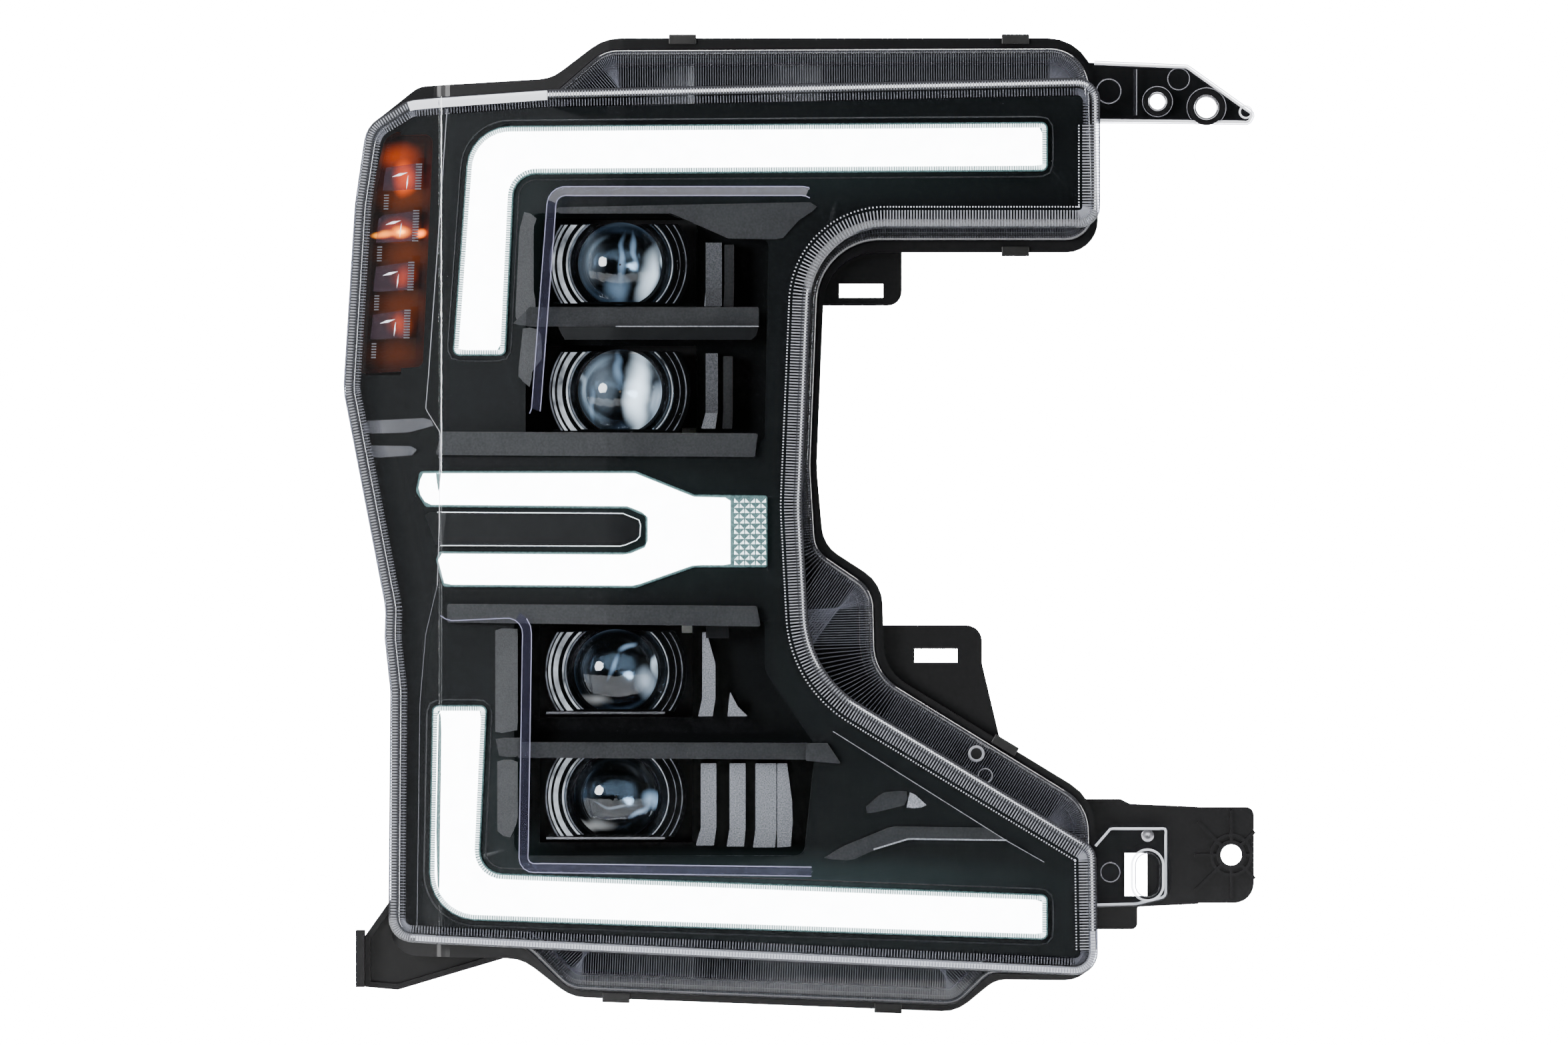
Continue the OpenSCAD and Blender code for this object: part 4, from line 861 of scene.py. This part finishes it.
BAY_WALLS = [
    [[-106.4, 161.9, 1], [-100.1, 157.4, 1], [-101.9, 152.9, 1], [-101.9, 120.3, 1],
     [-100.5, 112.7, 1], [-110, 103.1, 0.5], [-111.3, 107.7, 1], [-109.2, 151.1, 3]],
    [[-107.3, 102.2, 1], [-98.3, 100.4, 1], [-97.4, 86, 1], [-102.8, 78.7, 1], [-103.4, 69.7, 1],
     [-110, 76.9, 2]],
    [[-121.5, -52, 1], [-110, -52, 1], [-110, -104, 1], [-121.5, -106, 1]],
    [[-120.5, -119, 1], [-110, -119, 1], [-110, -150, 1], [-114, -160, 2], [-120.5, -156, 2]],
]
for i, corners in enumerate(BAY_WALLS):
    facet(f"bay_wall_{i + 1}", corners, 0.9, M["leather"])
facet("bay_roof", [
    [-92.9, 162.8, 1], [39.1, 165.5, 1], [43.7, 162.8, 1], [33.7, 156.5, 3], [24.7, 146.5, 2],
    [-2.5, 146.9, 3], [-31.4, 159.7, 3], [-90.2, 159.7, 1],
], 0.9, M["trim"])
facet("shelf_wing", [
    [-121.5, -107.8, 0.5], [-108, -107.8, 0.3], [-108, -117.6, 0.3], [-119.5, -117.6, 1],
], 1.1, M["trim"])
facet("shelf_point", [[-113, 103.2, 0.3], [-104, 102.3, 0.3], [-104, 111.6, 0.3]], 1.1, M["trim"])
# Painted shade: the shelf's lower facet in gloss black, darker than its top.
facet("shelf_underside_painted_shade", [[-90, 102, 0.3], [-86, 95.3, 0.5], [11, 95.3, 0.5], [13, 102, 0.3]], 0.9,
      M["gloss_black"])
# Painted shade: dark plates over the upper slats' fronts, which lie in shadow.
block("slat_painted_shade_1", (-14.2, -5.9, 45.2, 45.95, 112.6, 145), M["slats_painted_shade"], "lamp")
block("slat_painted_shade_2", (-14.2, -7.9, 45.2, 45.95, 58, 88.5), M["slats_painted_shade"], "lamp")
block("bay_lintel", (-14, -2.5, 40, 46, -57, -51), M["housing"], "lamp")

# ---------------------------------------------------------------- the lens's ears
EAR = [[170, 206, 2], [264, 205, 3], [267, 211, 3], [232, 236, 4], [170, 238.5, 2]]
EAR_BELOW = [
    [170, -195, 2], [206, -194, 3], [222, -190, 4], [222, -153, 2], [192, -153, 2], [170, -178, 2],
]


def ring_piece(name, x, z, r0, r1, y, material, slot="lens_clear", lift=0.6, count=48, half=0.0):
    """A raised ring; half is half the length of a slot that it goes round, upright."""
    verts = []
    for k in range(count):
        a = 2 * math.pi * k / count
        shift = half if math.sin(a) >= 0 else -half
        for r, up in ((r0, 0.0), ((r0 + r1) / 2, lift), (r1, 0.0)):
            verts.append((x + r * math.cos(a), y - up, z + shift + r * math.sin(a)))
    return add_piece(name, verts, grid_faces(count, 3, True), material, smooth=True)


def ear_band(name, outline, rows, material):
    """A strip along an ear's outline: rows are (distance inwards, y)."""
    loop = resampled(rounded(outline, 6.0), 2.0)
    verts = [(x + nx * d, y, z + nz * d) for x, z, nx, nz in loop for d, y in rows]
    faces = grid_faces(len(loop), len(rows), True)
    faces = [f for f in faces if all(verts[i][0] > EAR_START for i in f)]
    return add_piece(name, verts, faces, material)


EAR_EDGE = [(0.05, 36.8), (0.6, 36.7)]
ear_band("ear_edge", EAR, EAR_EDGE, M["edge"])
ear_band("lower_ear_edge", EAR_BELOW, EAR_EDGE, M["edge"])
# Painted highlights: pale bands along the lower ear's rim and round its slot.
ear_band("lower_ear_rim", EAR_BELOW, [(0.7, 36.7), (1.0, 36.3), (1.7, 36.3), (2.0, 36.7)],
         M["soft_painted_sheen"])
ring_piece("lower_ear_slot_edge", 211.4, -178, 5.9, 6.5, 32.9, M["edge"], lift=0.5, count=64, half=5.0)
ring_piece("lower_ear_slot_rim", 211.4, -178, 7.4, 8.6, 32.8, M["soft_painted_sheen"], lift=0.5, count=64,
           half=5.0)
ring_piece("lower_ear_mark", 192.4, -176.6, 4.6, 5.2, 36.7, M["rib"])
ring_piece("lower_ear_pin", 211.5, -157.8, 0.2, 3.2, 36.7, M["silver"], lift=0.4)
# Painted highlight: a pale band along the upper ear's rim.
ear_band("ear_rim", EAR, [(0.7, 36.7), (1.0, 36.2), (1.9, 36.2), (2.2, 36.7)], M["painted_sheen"])
ear_band("ear_groove", EAR, [(2.3, 36.8), (2.8, 36.8)], M["edge"])
# The third ring is in the pale hazy plastic: a painted highlight.
EAR_RINGS = [
    (191.6, 222.2, 5.9, 6.5, "rib"), (227.3, 228.5, 5.3, 5.8, "rib"), (261.6, 211.7, 2.6, 3.6, "painted_sheen"),
    (216.5, 217, 7.4, 7.9, "rib"), (241.5, 214, 9.7, 10.2, "rib"),
]
for i, (x, z, r0, r1, shade) in enumerate(EAR_RINGS):
    ring_piece(f"ear_ring_{i + 1}", x, z, r0, r1, 36.7, M[shade])
block("ear_rib", (204.2, 205.4, 36.1, 36.9, 210, 233.5), M["edge"], "lamp")
# Painted highlight along the ear rib's edge.
painted_highlight_line("ear_rib_edge", [(205.8, 210), (205.8, 233.5)], 0.25, 36.6, M["rib_frost_painted_highlight"], flat=True)
ring_piece("bolt_boss_ring", 241.5, 214, 5.4, 6.4, 36.0, M["silver"], "housing_black", lift=0.3)
ring_piece("locator_boss_ring", 216.5, 217, 4.0, 4.8, 36.0, M["silver"], "housing_black", lift=0.3)

SCREW = (124, -116)            # the screw in the lens's flange
BOSS = (128.5, -127.3)         # the boss beside it
screw_face = depth(STEP_LINE, SCREW[0])
ring_piece("lens_screw_rim", *SCREW, 2.9, 4.1, screw_face - 2.85, M["rib_frost_painted_highlight"], "screw_steel",
           lift=0.3)
ring_piece("lens_boss_ring", *BOSS, 3.3, 3.9, depth(STEP_LINE, BOSS[0]) - 0.3, M["rib_frost_painted_highlight"],
           lift=0.5)
verts = []
for k in range(24):
    a = k * math.pi / 12
    verts.append((SCREW[0] + 2.9 * math.cos(a), screw_face - 2.95, SCREW[1] + 2.9 * math.sin(a)))
add_piece("lens_screw_recess", verts, [tuple(range(24))], M["housing"])


# ---------------------------------------------------------------- side marker
def painted_glow_comb(name, x0, z0, x1, z1, lean):
    """A stack of short level bars, which glow as painted light."""
    verts, faces = [], []
    z = z0
    while z < z1:
        shift = lean * (z - z0) / (z1 - z0)
        for x in (x0 + shift, x1 + shift):
            for up in (-0.3, 0.3):
                verts.append((x, front(x) + BEZEL_DEPTH - 2.9, z + up))
        b = len(verts) - 4
        faces.append((b, b + 1, b + 3, b + 2))
        z += 1.4
    add_piece(name, verts, faces, M["painted_glow_comb"])


CELLS = [
    (-179.5, 171.5, -159.5, 186), (-183, 145, -161, 161.5), (-184.5, 120, -163.5, 135.5),
    (-186, 95.5, -165.5, 111),
]
for i, (x0, z0, x1, z1) in enumerate(CELLS):
    facet(f"marker_cell_{i + 1}",
          [[x0, z0, 0.3], [x1 - 0.6, z0 + 1, 0.3], [x1 + 0.6, z1, 0.3], [x0 + 1.5, z1 - 2.5, 0.3]],
          2.2, M["cell"], 0.3)
    # Painted glow: a comb beside each cell and a block below it.
    painted_glow_comb(f"marker_comb_{i + 1}", x1 - 3.2, z0 + 1, x1, z1, 0.6)
    painted_glow_comb(f"marker_block_{i + 1}", x0 + 0.5, z0 - 9, x0 + 3.0, z0 - 1.5, 0.3)
    # Painted highlights on each cell: a slanted glint and an upright glint edge.
    facet(f"marker_glint_{i + 1}",
          [[x0 + 5, z1 - 7.5, 0.3], [x0 + 13, z1 - 6, 0.3], [x0 + 13, z1 - 4.8, 0.3],
           [x0 + 5, z1 - 6, 0.3]],
          2.7, M["painted_glint"], 0.3)
    facet(f"marker_glint_edge_{i + 1}",
          [[x0 + 12.3, z1 - 14, 0.2], [x0 + 13, z1 - 14, 0.2], [x0 + 13.3, z1 - 6, 0.2],
           [x0 + 12.7, z1 - 6, 0.2]],
          2.7, M["painted_glint"], 0.3)

# ---------------------------------------------------------------- floor and light
STAGE_LIFT = 30.0              # how much brighter the floor and the surroundings look than they are lit
lowest = cad_box[0][2]
stage_material, tree = new_material("stage")
pale = tree.nodes.new("ShaderNodeBsdfDiffuse")
pale.inputs["Color"].default_value = (0.85, 0.85, 0.86, 1)
bright = tree.nodes.new("ShaderNodeEmission")
seen = tree.nodes.new("ShaderNodeLightPath")
lift = tree.nodes.new("ShaderNodeMath")
lift.operation = "MULTIPLY"
lift.inputs[1].default_value = STAGE_LIFT
link(tree, seen.outputs["Is Camera Ray"], lift.inputs[0])
link(tree, lift.outputs["Value"], bright.inputs["Strength"])
both = tree.nodes.new("ShaderNodeAddShader")
link(tree, pale.outputs["BSDF"], both.inputs[0])
link(tree, bright.outputs["Emission"], both.inputs[1])
out = tree.nodes.new("ShaderNodeOutputMaterial")
link(tree, both.outputs["Shader"], out.inputs["Surface"])
FLOOR = [(-2.5, -1.3), (2.5, -1.3), (2.5, 2.5), (-2.5, 2.5)]
verts = [(x, y, lowest - 0.0005) for x, y in FLOOR]
mesh = bpy.data.meshes.new("floor")
mesh.from_pydata(verts, [], [(0, 1, 2, 3)])
mesh.materials.append(stage_material)
floor = bpy.data.objects.new("floor", mesh)
bpy.context.scene.collection.objects.link(floor)


def area_light(name, at, aim, size, power, size_y, shape="RECTANGLE"):
    data = bpy.data.lights.new(name, "AREA")
    data.shape = shape
    data.size = size
    data.size_y = size_y
    data.energy = power
    obj = bpy.data.objects.new(name, data)
    obj.location = at
    obj.rotation_euler = (Vector(aim) - Vector(at)).to_track_quat("-Z", "Y").to_euler()
    obj.visible_camera = False
    bpy.context.scene.collection.objects.link(obj)


middle = row(0, 40, 0)
area_light("key", (-1.65, -2.2, 0.12), middle, 0.74, 60, 0.74, "ELLIPSE")
area_light("left", (-2.3, -0.75, -0.1), middle, 0.5, 75, 2.2)
area_light("right", (1.9, -0.8, -0.1), middle, 0.5, 60, 2.2)
area_light("top", (-0.2, -0.65, 1.9), middle, 3.0, 150, 0.6)

# A light tent that is dark in front, and that the camera sees as plain white
world = bpy.data.worlds.new("world")
world.use_nodes = True
tree = world.node_tree
tree.nodes.clear()
way = tree.nodes.new("ShaderNodeTexCoord")
ahead = tree.nodes.new("ShaderNodeVectorMath")
ahead.operation = "DOT_PRODUCT"
ahead.inputs[1].default_value = (0, -1, 0)
link(tree, way.outputs["Generated"], ahead.inputs[0])
level = tree.nodes.new("ShaderNodeMapRange")
level.inputs["From Min"].default_value = 0.5
level.inputs["From Max"].default_value = 0.85
level.inputs["To Min"].default_value = 0.3
level.inputs["To Max"].default_value = 0.02
link(tree, ahead.outputs["Value"], level.inputs["Value"])
tent = tree.nodes.new("ShaderNodeBackground")
link(tree, level.outputs["Result"], tent.inputs["Strength"])
plain = tree.nodes.new("ShaderNodeBackground")
plain.inputs["Strength"].default_value = STAGE_LIFT + 0.8
seen = tree.nodes.new("ShaderNodeLightPath")
mix = tree.nodes.new("ShaderNodeMixShader")
link(tree, seen.outputs["Is Camera Ray"], mix.inputs["Fac"])
link(tree, tent.outputs["Background"], mix.inputs[1])
link(tree, plain.outputs["Background"], mix.inputs[2])
out = tree.nodes.new("ShaderNodeOutputWorld")
link(tree, mix.outputs["Shader"], out.inputs["Surface"])
bpy.context.scene.world = world
